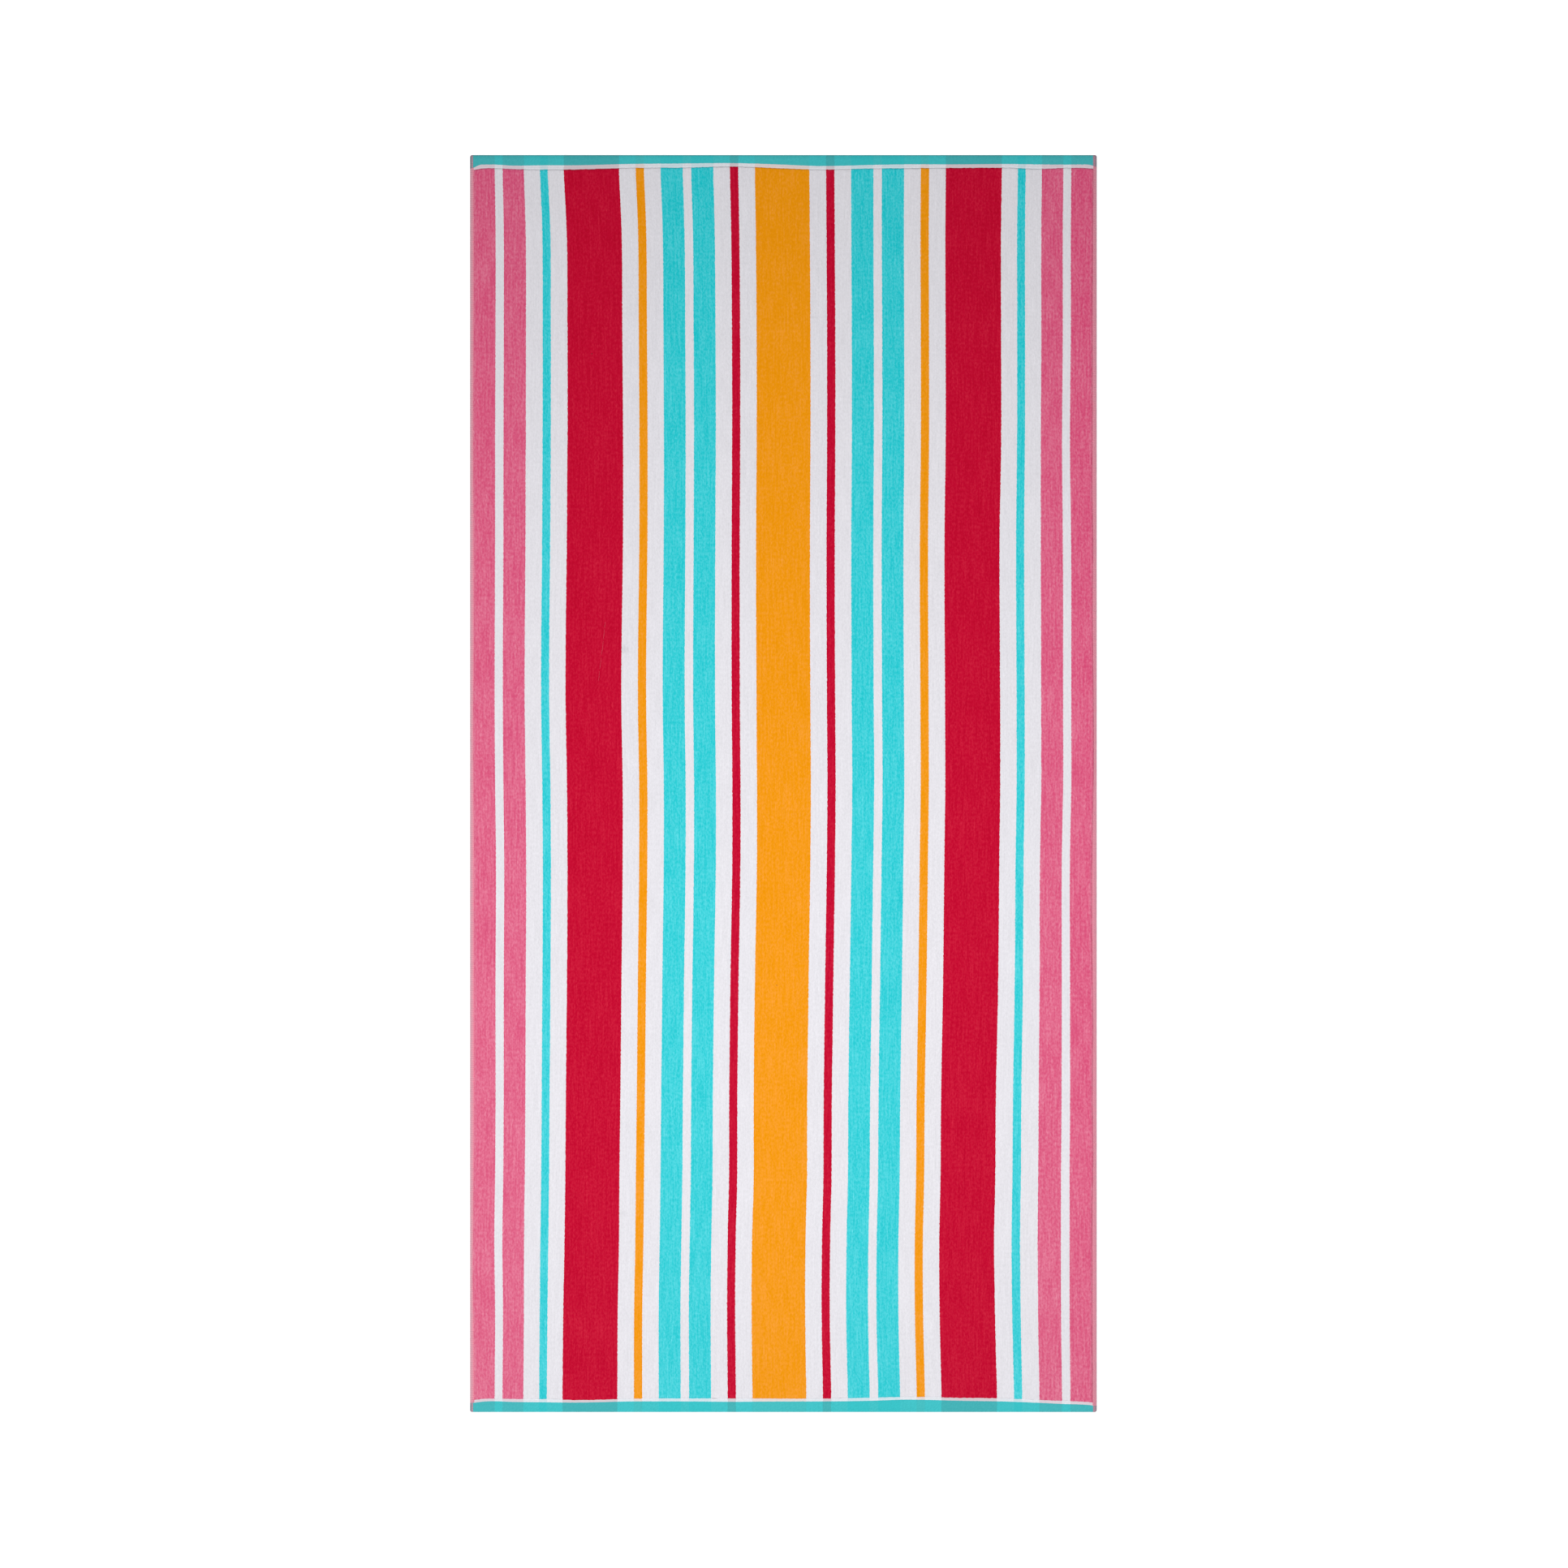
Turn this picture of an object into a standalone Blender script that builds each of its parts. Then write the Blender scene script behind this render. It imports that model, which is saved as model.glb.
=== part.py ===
# Beach towel of striped velour terry, lying flat with its pile up.
#
# Metres, +Z up. The origin is under the middle of the towel, on the surface that it lies on, and +Y
# runs along its length. The towel is one piece of cloth and one closed solid. Its section starts at
# the flat underside, goes out through the open slit of the turned hem, around the flap and the
# outer fold, over the flat-woven border, and up the low step to the pile. The step is as uneven as
# the woven lines are.

import math
from collections import namedtuple

import bmesh
import bpy

# Size of the hemmed towel
WIDTH = 0.761
LENGTH = 1.526
CORNER_RADIUS = 0.0025

# Thickness: a flat-woven layer, the air between two layers of a hem, and the cloth with its pile
LAYER = 0.0010
HEM_SLIT = 0.0003
HEM_HEIGHT = 2 * LAYER + HEM_SLIT
PILE_HEIGHT = 0.0030

# Depth of the flaps that are turned to the back, and the gap between a flap and the pile beside it
SIDE_FLAP = 0.0065
END_FLAP = 0.0160
FLAP_GAP = 0.0008
FOLD_DEPTH = 0.0009

# Faces of the solid
CORNER_STEPS = 3
ROW_SPACING = 0.050
FIRST_ROW = 0.024
WIDEST_COLUMN = 0.036

# Dyed warp yarns from the centre line to the hem, the same on both halves. The middle stripe lies
# across the centre line, so its row holds half of it.
Stripe = namedtuple("Stripe", "yarn width")
STRIPES = (
    Stripe("orange", 0.0326),
    Stripe("white", 0.0200),
    Stripe("red", 0.0100),
    Stripe("white", 0.0200),
    Stripe("turquoise", 0.0266),
    Stripe("white", 0.0102),
    Stripe("turquoise", 0.0266),
    Stripe("white", 0.0200),
    Stripe("orange", 0.0100),
    Stripe("white", 0.0200),
    Stripe("red", 0.0672),
    Stripe("white", 0.0200),
    Stripe("turquoise", 0.0098),
    Stripe("white", 0.0202),
    Stripe("pink", 0.0267),
    Stripe("white", 0.0100),
    Stripe("pink", 0.0307),
)

# Width of the flat-woven border in front of the pile, at places across the towel, at both ends
Border = namedtuple("Border", "across plus_y minus_y")
END_BORDERS = (
    Border(-0.376, 0.0173, 0.0155),
    Border(-0.359, 0.0163, 0.0165),
    Border(-0.292, 0.0178, 0.0160),
    Border(-0.250, 0.0176, 0.0147),
    Border(-0.191, 0.0158, 0.0162),
    Border(-0.124, 0.0155, 0.0168),
    Border(-0.057, 0.0142, 0.0166),
    Border(-0.010, 0.0160, 0.0166),
    Border(0.043, 0.0177, 0.0164),
    Border(0.110, 0.0164, 0.0177),
    Border(0.144, 0.0162, 0.0186),
    Border(0.211, 0.0157, 0.0175),
    Border(0.278, 0.0158, 0.0164),
    Border(0.311, 0.0170, 0.0148),
    Border(0.345, 0.0158, 0.0138),
    Border(0.376, 0.0164, 0.0133),
)

# Width of the side hems in front of the pile, at places along the towel
SideHem = namedtuple("SideHem", "along minus_x plus_x")
SIDE_HEMS = (
    SideHem(-0.738, 0.0049, 0.0039),
    SideHem(-0.674, 0.0047, 0.0053),
    SideHem(-0.477, 0.0034, 0.0051),
    SideHem(-0.330, 0.0046, 0.0049),
    SideHem(-0.182, 0.0049, 0.0052),
    SideHem(-0.083, 0.0047, 0.0056),
    SideHem(0.000, 0.0030, 0.0032),
    SideHem(0.065, 0.0034, 0.0036),
    SideHem(0.163, 0.0044, 0.0053),
    SideHem(0.262, 0.0046, 0.0040),
    SideHem(0.360, 0.0046, 0.0051),
    SideHem(0.557, 0.0046, 0.0049),
    SideHem(0.695, 0.0050, 0.0053),
)

# Folds of the hem from the underside to the top of the border: how far each lies in from the
# towel's edge at the sides and at the ends, and how high
Fold = namedtuple("Fold", "side end height")
HEM_FOLDS = (
    Fold(SIDE_FLAP + FLAP_GAP, END_FLAP + FLAP_GAP, 0.0),
    Fold(SIDE_FLAP + FLAP_GAP, END_FLAP + FLAP_GAP, LAYER + HEM_SLIT),
    Fold(FOLD_DEPTH, FOLD_DEPTH, LAYER + HEM_SLIT),
    Fold(FOLD_DEPTH, FOLD_DEPTH, LAYER),
    Fold(SIDE_FLAP, END_FLAP, LAYER),
    Fold(SIDE_FLAP, END_FLAP, 0.0),
    Fold(FOLD_DEPTH, FOLD_DEPTH, 0.0),
    Fold(0.25 * FOLD_DEPTH, 0.25 * FOLD_DEPTH, 0.16 * HEM_HEIGHT),
    Fold(0.0, 0.0, 0.5 * HEM_HEIGHT),
    Fold(0.25 * FOLD_DEPTH, 0.25 * FOLD_DEPTH, 0.84 * HEM_HEIGHT),
    Fold(FOLD_DEPTH, FOLD_DEPTH, HEM_HEIGHT),
)

# The step from the border up to the pile: distance past the uneven line, and height
Step = namedtuple("Step", "past height")
PILE_STEPS = (
    Step(0.0, HEM_HEIGHT),
    Step(0.0004, 0.72 * PILE_HEIGHT + 0.28 * HEM_HEIGHT),
    Step(0.0013, PILE_HEIGHT),
)

# Low, soft unevenness of the pile as it lies
Wave = namedtuple("Wave", "height across along shift")
WAVES = (
    Wave(0.00014, 0.21, 0.55, 0.4),
    Wave(0.00012, -0.34, 0.29, 1.9),
    Wave(0.00009, 0.47, -0.19, 3.1),
)
WAVE_MARGIN = 0.040

# Yarn colours as seen, in sRGB
YARN_COLOURS = {
    "white": (0.910, 0.906, 0.925),
    "orange": (0.961, 0.624, 0.141),
    "red": (0.788, 0.075, 0.216),
    "turquoise": (0.267, 0.827, 0.859),
    "pink": (0.886, 0.431, 0.557),
}
BORDER_YARN = "turquoise"
TERRY_ROUGHNESS = 0.95


def linear(channel):
    """An sRGB channel as the linear value that a shader takes."""
    if channel <= 0.04045:
        return channel / 12.92
    return ((channel + 0.055) / 1.055) ** 2.4


def yarn_material(yarn):
    material = bpy.data.materials.new("terry_" + yarn)
    material.use_nodes = True
    shader = material.node_tree.nodes["Principled BSDF"]
    colour = [linear(channel) for channel in YARN_COLOURS[yarn]]
    shader.inputs["Base Color"].default_value = (*colour, 1.0)
    shader.inputs["Roughness"].default_value = TERRY_ROUGHNESS
    shader.inputs["Metallic"].default_value = 0.0
    return material


def between(place, rows, column):
    """A column of a table at a place between its rows, eased so that the line bends softly."""
    if place <= rows[0][0]:
        return getattr(rows[0], column)
    for low, high in zip(rows, rows[1:]):
        if place <= high[0]:
            share = (place - low[0]) / (high[0] - low[0])
            share = share * share * (3 - 2 * share)
            return getattr(low, column) * (1 - share) + getattr(high, column) * share
    return getattr(rows[-1], column)


def stripe_edges():
    """Distances of the stripes' edges from the centre line, on one half."""
    edges = []
    reach = 0.0
    for stripe in STRIPES:
        reach += stripe.width
        edges.append(reach)
    return edges


def columns():
    """Places across the towel where the faces meet: every stripe edge, and wide stripes halved."""
    half = []
    last = 0.0
    for edge in stripe_edges()[:-1]:
        if edge - last > WIDEST_COLUMN:
            half.append((last + edge) / 2)
        half.append(edge)
        last = edge
    return [-x for x in reversed(half)] + [0.0] + half


def rows():
    """Places along the towel where the faces meet."""
    reach = LENGTH / 2 - FIRST_ROW
    count = round(2 * reach / ROW_SPACING)
    return [-reach + 2 * reach * i / count for i in range(count + 1)]


COLUMNS = columns()
ROWS = rows()


def unevenness(x, y):
    """Height of the pile's soft waves, which die out towards the hems."""
    to_edge = min(WIDTH / 2 - abs(x), LENGTH / 2 - abs(y))
    share = max(0.0, min(1.0, to_edge / WAVE_MARGIN))
    total = 0.0
    for wave in WAVES:
        turn = x / wave.across + y / wave.along
        total += wave.height * math.sin(2 * math.pi * turn + wave.shift)
    return total * share * share * (3 - 2 * share)


def corner_points(sign_x, sign_y, side, end):
    """Points around one corner, from the side that the ring comes along to the one it goes on."""
    if side < CORNER_RADIUS and end < CORNER_RADIUS:
        radius = CORNER_RADIUS - side
        x = sign_x * (WIDTH / 2 - CORNER_RADIUS)
        y = sign_y * (LENGTH / 2 - CORNER_RADIUS)
        start = math.atan2(sign_y, sign_x) - math.pi / 4
        turns = [start + math.pi / 2 * i / CORNER_STEPS for i in range(CORNER_STEPS + 1)]
        return [(x + radius * math.cos(turn), y + radius * math.sin(turn)) for turn in turns]
    x = sign_x * (WIDTH / 2 - side)
    y = sign_y * (LENGTH / 2 - end)
    return [(x, y)] * (CORNER_STEPS + 1)


def ring_points(side_inset, end_inset):
    """Points once around the towel, anticlockwise from above. The insets are functions of the place
    on the edge and of the sign of the side or end."""
    half_width = WIDTH / 2
    half_length = LENGTH / 2

    def corner(sign_x, sign_y):
        side = side_inset(sign_y * half_length, sign_x)
        end = end_inset(sign_x * half_width, sign_y)
        return corner_points(sign_x, sign_y, side, end)

    points = corner(-1, -1)
    points += [(x, -half_length + end_inset(x, -1)) for x in COLUMNS]
    points += corner(1, -1)
    points += [(half_width - side_inset(y, 1), y) for y in ROWS]
    points += corner(1, 1)
    points += [(x, half_length - end_inset(x, 1)) for x in reversed(COLUMNS)]
    points += corner(-1, 1)
    points += [(-half_width + side_inset(y, -1), y) for y in reversed(ROWS)]
    return points


def fold_ring(fold):
    """The ring of one fold of the hem, as points with their height."""
    points = ring_points(lambda place, sign: fold.side, lambda place, sign: fold.end)
    return [(x, y, fold.height) for x, y in points]


def step_ring(step):
    """The ring of one line of the step up to the pile."""

    def side(place, sign):
        column = "plus_x" if sign > 0 else "minus_x"
        return between(place, SIDE_HEMS, column) + step.past

    def end(place, sign):
        column = "plus_y" if sign > 0 else "minus_y"
        return between(place, END_BORDERS, column) + step.past

    return [(x, y, step.height) for x, y in ring_points(side, end)]


def add_ring(mesh, points):
    """Vertices of a ring. Points that fall together at a sharp corner share one vertex."""
    ring = []
    for point in points:
        if ring and points[len(ring) - 1] == point:
            ring.append(ring[-1])
        else:
            ring.append(mesh.verts.new(point))
    return ring


def add_face(mesh, corners):
    """A face without the corners that repeat, or none where fewer than three are left."""
    kept = list(dict.fromkeys(corners))
    if len(kept) > 2:
        mesh.faces.new(kept)


def join_rings(mesh, first, second):
    count = len(first)
    for i in range(count):
        after = (i + 1) % count
        add_face(mesh, (first[i], first[after], second[after], second[i]))


def ring_sides(ring):
    """The ring as its two ends, from -X to +X, and the pairs of side points of each row."""
    corner = CORNER_STEPS + 1
    across = len(COLUMNS)
    along = len(ROWS)
    right = corner + across + corner
    far = right + along + corner
    left = far + across + corner
    near_end = ring[corner - 1:right - corner + 1]
    far_end = list(reversed(ring[far - 1:far + across + 1]))
    pairs = list(zip(reversed(ring[left:left + along]), ring[right:right + along]))
    return near_end, far_end, pairs


def fill_pile(mesh, ring):
    """The pile's top: a grid of faces inside the last ring, raised and lowered by the waves."""
    near_end, far_end, pairs = ring_sides(ring)
    lines = [near_end]
    for y, (left, right) in zip(ROWS, pairs):
        inner = [mesh.verts.new((x, y, PILE_HEIGHT + unevenness(x, y))) for x in COLUMNS]
        lines.append([left, *inner, right])
    lines.append(far_end)
    for low, high in zip(lines, lines[1:]):
        for i in range(len(low) - 1):
            mesh.faces.new((low[i], low[i + 1], high[i + 1], high[i]))


def fill_underside(mesh, ring):
    """The flat underside: one strip of cloth from side to side for each row."""
    near_end, far_end, pairs = ring_sides(ring)
    mesh.faces.new([*near_end, pairs[0][1], pairs[0][0]])
    for (left, right), (next_left, next_right) in zip(pairs, pairs[1:]):
        mesh.faces.new((left, right, next_right, next_left))
    mesh.faces.new([*pairs[-1], *reversed(far_end)])


def yarn_at(x, y):
    """The yarn that shows at a place: the border's weft at the ends, a warp stripe elsewhere."""
    column = "plus_y" if y > 0 else "minus_y"
    if LENGTH / 2 - abs(y) < between(x, END_BORDERS, column):
        return BORDER_YARN
    for stripe, edge in zip(STRIPES, stripe_edges()):
        if abs(x) < edge:
            return stripe.yarn
    return STRIPES[-1].yarn


def towel_mesh():
    mesh = bmesh.new()
    rings = [fold_ring(fold) for fold in HEM_FOLDS] + [step_ring(step) for step in PILE_STEPS]
    rings = [add_ring(mesh, points) for points in rings]
    for first, second in zip(rings, rings[1:]):
        join_rings(mesh, first, second)
    fill_underside(mesh, rings[0])
    fill_pile(mesh, rings[-1])
    bmesh.ops.recalc_face_normals(mesh, faces=mesh.faces[:])
    yarns = list(YARN_COLOURS)
    for face in mesh.faces:
        centre = face.calc_center_median()
        face.material_index = yarns.index(yarn_at(centre.x, centre.y))
    return mesh


def make_towel():
    data = bpy.data.meshes.new("towel")
    mesh = towel_mesh()
    mesh.to_mesh(data)
    mesh.free()
    for yarn in YARN_COLOURS:
        data.materials.append(yarn_material(yarn))
    data.shade_smooth()
    data.set_sharp_from_angle(angle=math.radians(50))
    towel = bpy.data.objects.new("towel", data)
    bpy.context.scene.collection.objects.link(towel)
    return towel


def clear_scene():
    for item in list(bpy.data.objects):
        bpy.data.objects.remove(item, do_unlink=True)


clear_scene()
make_towel()
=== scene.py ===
# %% [markdown]
# # A striped beach towel of velour terry
# The real towel is one length of cotton cloth. Dyed warp yarns run along it and make the stripes.
# On the face the pile loops are sheared to velour, and on the back they stay loops. At both ends
# the pile stops and a flat-woven border follows, and all four edges are turned to the back.
# This lesson builds it in that order: the woven plan first, then the flat cloth with its hems,
# then the pile on it, the sewing, and last the finishes and the light.

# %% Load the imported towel
import math
from collections import namedtuple

import bpy
import numpy as np
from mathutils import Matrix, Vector


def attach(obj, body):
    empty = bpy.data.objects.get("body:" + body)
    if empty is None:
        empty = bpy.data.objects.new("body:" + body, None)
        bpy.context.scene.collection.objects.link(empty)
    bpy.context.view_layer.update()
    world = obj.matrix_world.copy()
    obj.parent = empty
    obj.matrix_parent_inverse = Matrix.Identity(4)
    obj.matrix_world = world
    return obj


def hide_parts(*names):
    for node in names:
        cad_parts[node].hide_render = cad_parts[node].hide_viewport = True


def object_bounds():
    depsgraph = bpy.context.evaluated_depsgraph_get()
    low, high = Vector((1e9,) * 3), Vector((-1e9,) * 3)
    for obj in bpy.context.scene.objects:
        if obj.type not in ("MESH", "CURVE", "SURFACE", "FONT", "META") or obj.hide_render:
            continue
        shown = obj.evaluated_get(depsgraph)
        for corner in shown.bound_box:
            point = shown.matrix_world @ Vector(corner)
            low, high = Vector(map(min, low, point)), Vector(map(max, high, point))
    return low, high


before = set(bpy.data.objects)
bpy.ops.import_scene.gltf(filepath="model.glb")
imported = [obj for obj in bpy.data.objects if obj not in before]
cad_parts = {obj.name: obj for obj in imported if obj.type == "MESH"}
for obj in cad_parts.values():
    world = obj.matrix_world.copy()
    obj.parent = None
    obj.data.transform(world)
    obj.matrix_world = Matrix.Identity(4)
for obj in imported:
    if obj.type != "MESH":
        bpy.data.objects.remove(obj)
cad_low, cad_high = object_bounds()
MM = 0.001
WIDTH = cad_high.x - cad_low.x
LENGTH = cad_high.y - cad_low.y
HALF_WIDTH = WIDTH / 2
HALF_LENGTH = LENGTH / 2
print(f"towel {WIDTH:.3f} by {LENGTH:.3f} m, {1000 * (cad_high.z - cad_low.z):.1f} mm thick")

# %% [markdown]
# ## The warp plan
# A weaver writes the stripes down as a list of yarns and widths. The towel is the same on both
# sides of its centre line, so half a list is enough. Widths are in millimetres, measured on the
# photo, and the first row is half of the middle stripe.

# %% Write the stripes down
Stripe = namedtuple("Stripe", "yarn width")
STRIPES = (
    Stripe("orange", 32.6),
    Stripe("white", 20.0),
    Stripe("red", 10.0),
    Stripe("white", 20.0),
    Stripe("turquoise", 26.6),
    Stripe("white", 10.2),
    Stripe("turquoise", 26.6),
    Stripe("white", 20.0),
    Stripe("orange", 10.0),
    Stripe("white", 20.0),
    Stripe("red", 67.2),
    Stripe("white", 20.0),
    Stripe("turquoise", 9.8),
    Stripe("white", 20.2),
    Stripe("pink", 26.7),
    Stripe("white", 10.0),
    Stripe("pink", 30.7),
)
print(f"{len(STRIPES)} stripes on each half, {sum(s.width for s in STRIPES):.1f} mm")

# %% [markdown]
# ## Where the stripes wander
# Soft cloth never lies quite true. Inside a straight outline the stripes lean by a few
# millimetres. Each row below is a place along the towel, and each column an edge that a small
# measuring script followed down the photo, rounded to half a millimetre. The columns' own places
# across the towel are in WARP_PLACES. The same kind of table holds the woven lines at the two
# ends and the widths of the side hems, rounded to a tenth. These are measurements and not a
# design: a few points chosen by hand would be easier to read and to change.

# %% Measure the lean of the stripes
WARP_PLACES = (-350, -263, -196, -33, 109, 263, 350)
Lean = namedtuple(
    "Lean", "along pink_left cream_left red_left middle blue_right red_right pink_right"
)
LEANS = (
    Lean(-738, -0.5, -5.0, -5.5, -5.0, -4.5, -4.0, -1.5),
    Lean(-635, 0.0, -4.0, -5.0, -6.0, -6.5, -6.5, -2.5),
    Lean(-556, -1.0, -2.5, -3.5, -5.5, -6.0, -7.5, -2.5),
    Lean(-477, 0.0, -1.5, -3.0, -3.5, -4.5, -6.0, -2.5),
    Lean(-398, 0.5, -1.0, -2.0, -3.5, -4.0, -5.5, -2.0),
    Lean(-241, 0.5, 0.5, -0.5, -2.0, -2.0, -2.5, -2.0),
    Lean(-83, 1.0, 1.0, 1.0, 0.5, 0.0, -1.0, -2.0),
    Lean(0, 0.0, 0.5, 1.0, 0.5, 1.0, 0.0, -0.5),
    Lean(84, -0.5, -1.0, -0.5, 0.0, 0.5, 0.0, -0.5),
    Lean(321, 0.0, 0.5, 1.5, -0.5, 0.0, -0.5, -1.0),
    Lean(399, 0.0, 1.0, 1.5, 0.0, 0.5, 1.0, -2.0),
    Lean(557, 0.5, 1.0, 0.5, 0.0, 0.5, 1.0, -1.0),
    Lean(675, 0.5, 0.0, -0.5, -1.0, 0.0, 1.0, -1.0),
    Lean(742, -0.5, -3.5, -3.5, -2.0, 0.0, 2.0, -0.5),
)
print(len(LEANS), "rows of leans, from", LEANS[0].along, "to", LEANS[-1].along, "mm")

# %% Measure the borders and the side hems
# Distances in from the towel's edge: at each end the line where the turquoise weft turns white,
# and the line where the pile starts, at places across the towel; then the width of each side hem.
Border = namedtuple("Border", "across far_line far_pile near_line near_pile")
BORDERS = (
    Border(-379, 16.6, 18.9, 11.4, 14.7),
    Border(-375, 15.0, 18.0, 11.6, 15.0),
    Border(-369, 12.2, 16.9, 12.4, 15.8),
    Border(-359, 11.6, 16.2, 13.2, 16.4),
    Border(-328, 12.9, 17.2, 12.5, 16.1),
    Border(-292, 12.5, 17.8, 12.1, 16.0),
    Border(-250, 12.5, 17.6, 11.7, 14.7),
    Border(-191, 11.0, 15.8, 13.0, 16.2),
    Border(-124, 10.3, 15.5, 13.1, 16.8),
    Border(-57, 9.9, 14.2, 12.7, 16.6),
    Border(-10, 11.3, 16.0, 13.0, 16.6),
    Border(43, 13.4, 17.7, 13.1, 16.4),
    Border(110, 12.0, 16.4, 14.0, 17.7),
    Border(144, 11.4, 16.2, 15.2, 18.6),
    Border(211, 11.4, 15.7, 14.0, 17.5),
    Border(278, 11.0, 15.8, 12.7, 16.4),
    Border(311, 11.5, 17.0, 11.4, 14.8),
    Border(345, 11.7, 15.8, 9.8, 13.5),
    Border(363, 11.6, 15.8, 9.3, 12.8),
    Border(371, 11.8, 16.3, 8.7, 12.3),
    Border(376, 13.2, 17.0, 8.1, 11.7),
    Border(379, 14.4, 17.8, 7.9, 11.5),
)
SideHem = namedtuple("SideHem", "along left right")
SIDE_HEMS = (
    SideHem(-729, 5.2, 5.0),
    SideHem(-674, 4.8, 5.3),
    SideHem(-600, 3.3, 5.3),
    SideHem(-526, 4.0, 5.5),
    SideHem(-453, 4.6, 4.4),
    SideHem(-379, 5.2, 5.1),
    SideHem(-305, 5.3, 4.5),
    SideHem(-157, 4.8, 5.9),
    SideHem(-83, 5.0, 5.5),
    SideHem(-9, 4.4, 4.1),
    SideHem(65, 3.8, 3.8),
    SideHem(138, 4.5, 4.4),
    SideHem(212, 4.7, 5.0),
    SideHem(286, 4.6, 4.5),
    SideHem(360, 4.2, 5.4),
    SideHem(434, 3.9, 5.2),
    SideHem(582, 4.6, 5.2),
    SideHem(656, 4.7, 4.7),
    SideHem(729, 4.4, 4.2),
)
SIDE_HEM = 4.7 * MM
STRIP_AT_LEFT_ENDS = 3.7 * MM
STRIP_AT_RIGHT_ENDS = 4.6 * MM
print(len(BORDERS), "places across the ends,", len(SIDE_HEMS), "along the side hems")

# %% Read the tables at any place
def along_table(rows, column, place):
    """A column of a table at any places, on a curve that passes softly through the rows."""
    knots = np.array([row[0] for row in rows]) * MM
    values = np.array([getattr(row, column) for row in rows]) * MM
    slopes = np.gradient(values, knots)
    place = np.clip(place, knots[0], knots[-1])
    low = np.clip(np.searchsorted(knots, place) - 1, 0, len(knots) - 2)
    span = knots[low + 1] - knots[low]
    t = (place - knots[low]) / span
    ease = t * t * (3 - 2 * t)
    bend = t * (1 - t) * span * (slopes[low] * (1 - t) - slopes[low + 1] * t)
    return values[low] + (values[low + 1] - values[low]) * ease + bend


def end_inset(x, sign, line):
    """How far a woven line lies in from the end on the side of sign."""
    far = along_table(BORDERS, "far_" + line, x)
    near = along_table(BORDERS, "near_" + line, x)
    return np.where(np.asarray(sign) > 0, far, near)


def side_inset(y, sign):
    """The width of the side hem on the side of sign."""
    right = np.asarray(sign) > 0
    return np.where(right, along_table(SIDE_HEMS, "right", y), along_table(SIDE_HEMS, "left", y))


print("pile starts", np.round(1000 * end_inset(np.array([-0.3, 0, 0.3]), 1, "pile"), 1), "mm in")

# %% [markdown]
# ## From the loom to the floor
# On the loom every warp yarn has one place, u. On the floor it lies at x, which is u plus the
# lean there. Working in woven places means that a stripe, a fleck or a smudge is painted on the
# cloth and bends with it. `drift` goes from the loom to the floor, and `loom_place` goes back.

# %% Map woven places to places on the floor
PILE_HALF = HALF_WIDTH - SIDE_HEM


def drift(u, y):
    """How far the warp yarn at u lies from its place on the loom."""
    places = np.array([-PILE_HALF / MM, *WARP_PLACES, PILE_HALF / MM]) * MM
    shifts = [side_inset(y, -1) - SIDE_HEM]
    shifts += [along_table(LEANS, column, y) for column in Lean._fields[1:]]
    shifts += [SIDE_HEM - side_inset(y, 1)]
    shifts = np.stack(shifts)
    low = np.clip(np.searchsorted(places, u) - 1, 0, len(places) - 2)
    share = np.clip((u - places[low]) / (places[low + 1] - places[low]), 0, 1)
    index = np.arange(u.size)
    flat_low = low.ravel()
    first = shifts.reshape(len(places), -1)[flat_low, index].reshape(u.shape)
    second = shifts.reshape(len(places), -1)[flat_low + 1, index].reshape(u.shape)
    return first * (1 - share) + second * share


def loom_place(x, y):
    """The warp yarn that lies at x, found by stepping back along its drift."""
    u = x
    for _ in range(3):
        u = x - drift(u, y)
    return u


def soft_noise(x, y, across, along, seed):
    """Random values from -1 to 1 that change smoothly over the given lengths."""
    side = 1024
    table = np.random.default_rng(seed).uniform(-1, 1, (side, side))
    column = x / across
    row = y / along
    i = np.floor(column).astype(int)
    j = np.floor(row).astype(int)
    s = column - i
    t = row - j
    s = s * s * (3 - 2 * s)
    t = t * t * (3 - 2 * t)
    near = table[i % side, j % side] * (1 - s) + table[(i + 1) % side, j % side] * s
    far = table[i % side, (j + 1) % side] * (1 - s) + table[(i + 1) % side, (j + 1) % side] * s
    return near * (1 - t) + far * t


probe = drift(np.array([0.1]), np.array([-0.556]))
print(f"the turquoise stripe near the bottom leans {1000 * probe[0]:.1f} mm")

# %% [markdown]
# ## A few helpers for meshes
# A towel needs many thousand faces, so its meshes are built from number arrays in one go.
# A ring is a closed line of points once around the towel. Where neighbours in a ring fall on
# the same spot they share one vertex, and the face between two rings becomes a triangle. That
# lets a finely stepped ring meet a coarse one, and a rounded corner meet a sharp one.
# Each face can also be given its place on a flat pattern, as on a cutter's sheet. That is the UV
# map through which colours are baked, and long pieces are cut in lengths on it, so that a square
# picture holds them at a good scale. A face with no place there is one that nobody sees.

# %% Build meshes from arrays
PATTERN_MAP = "OFBake"
PATTERN_GAP = 3 * MM
SHARP_ANGLE = math.radians(60)
SAME_PLACE = 1e-7


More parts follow.
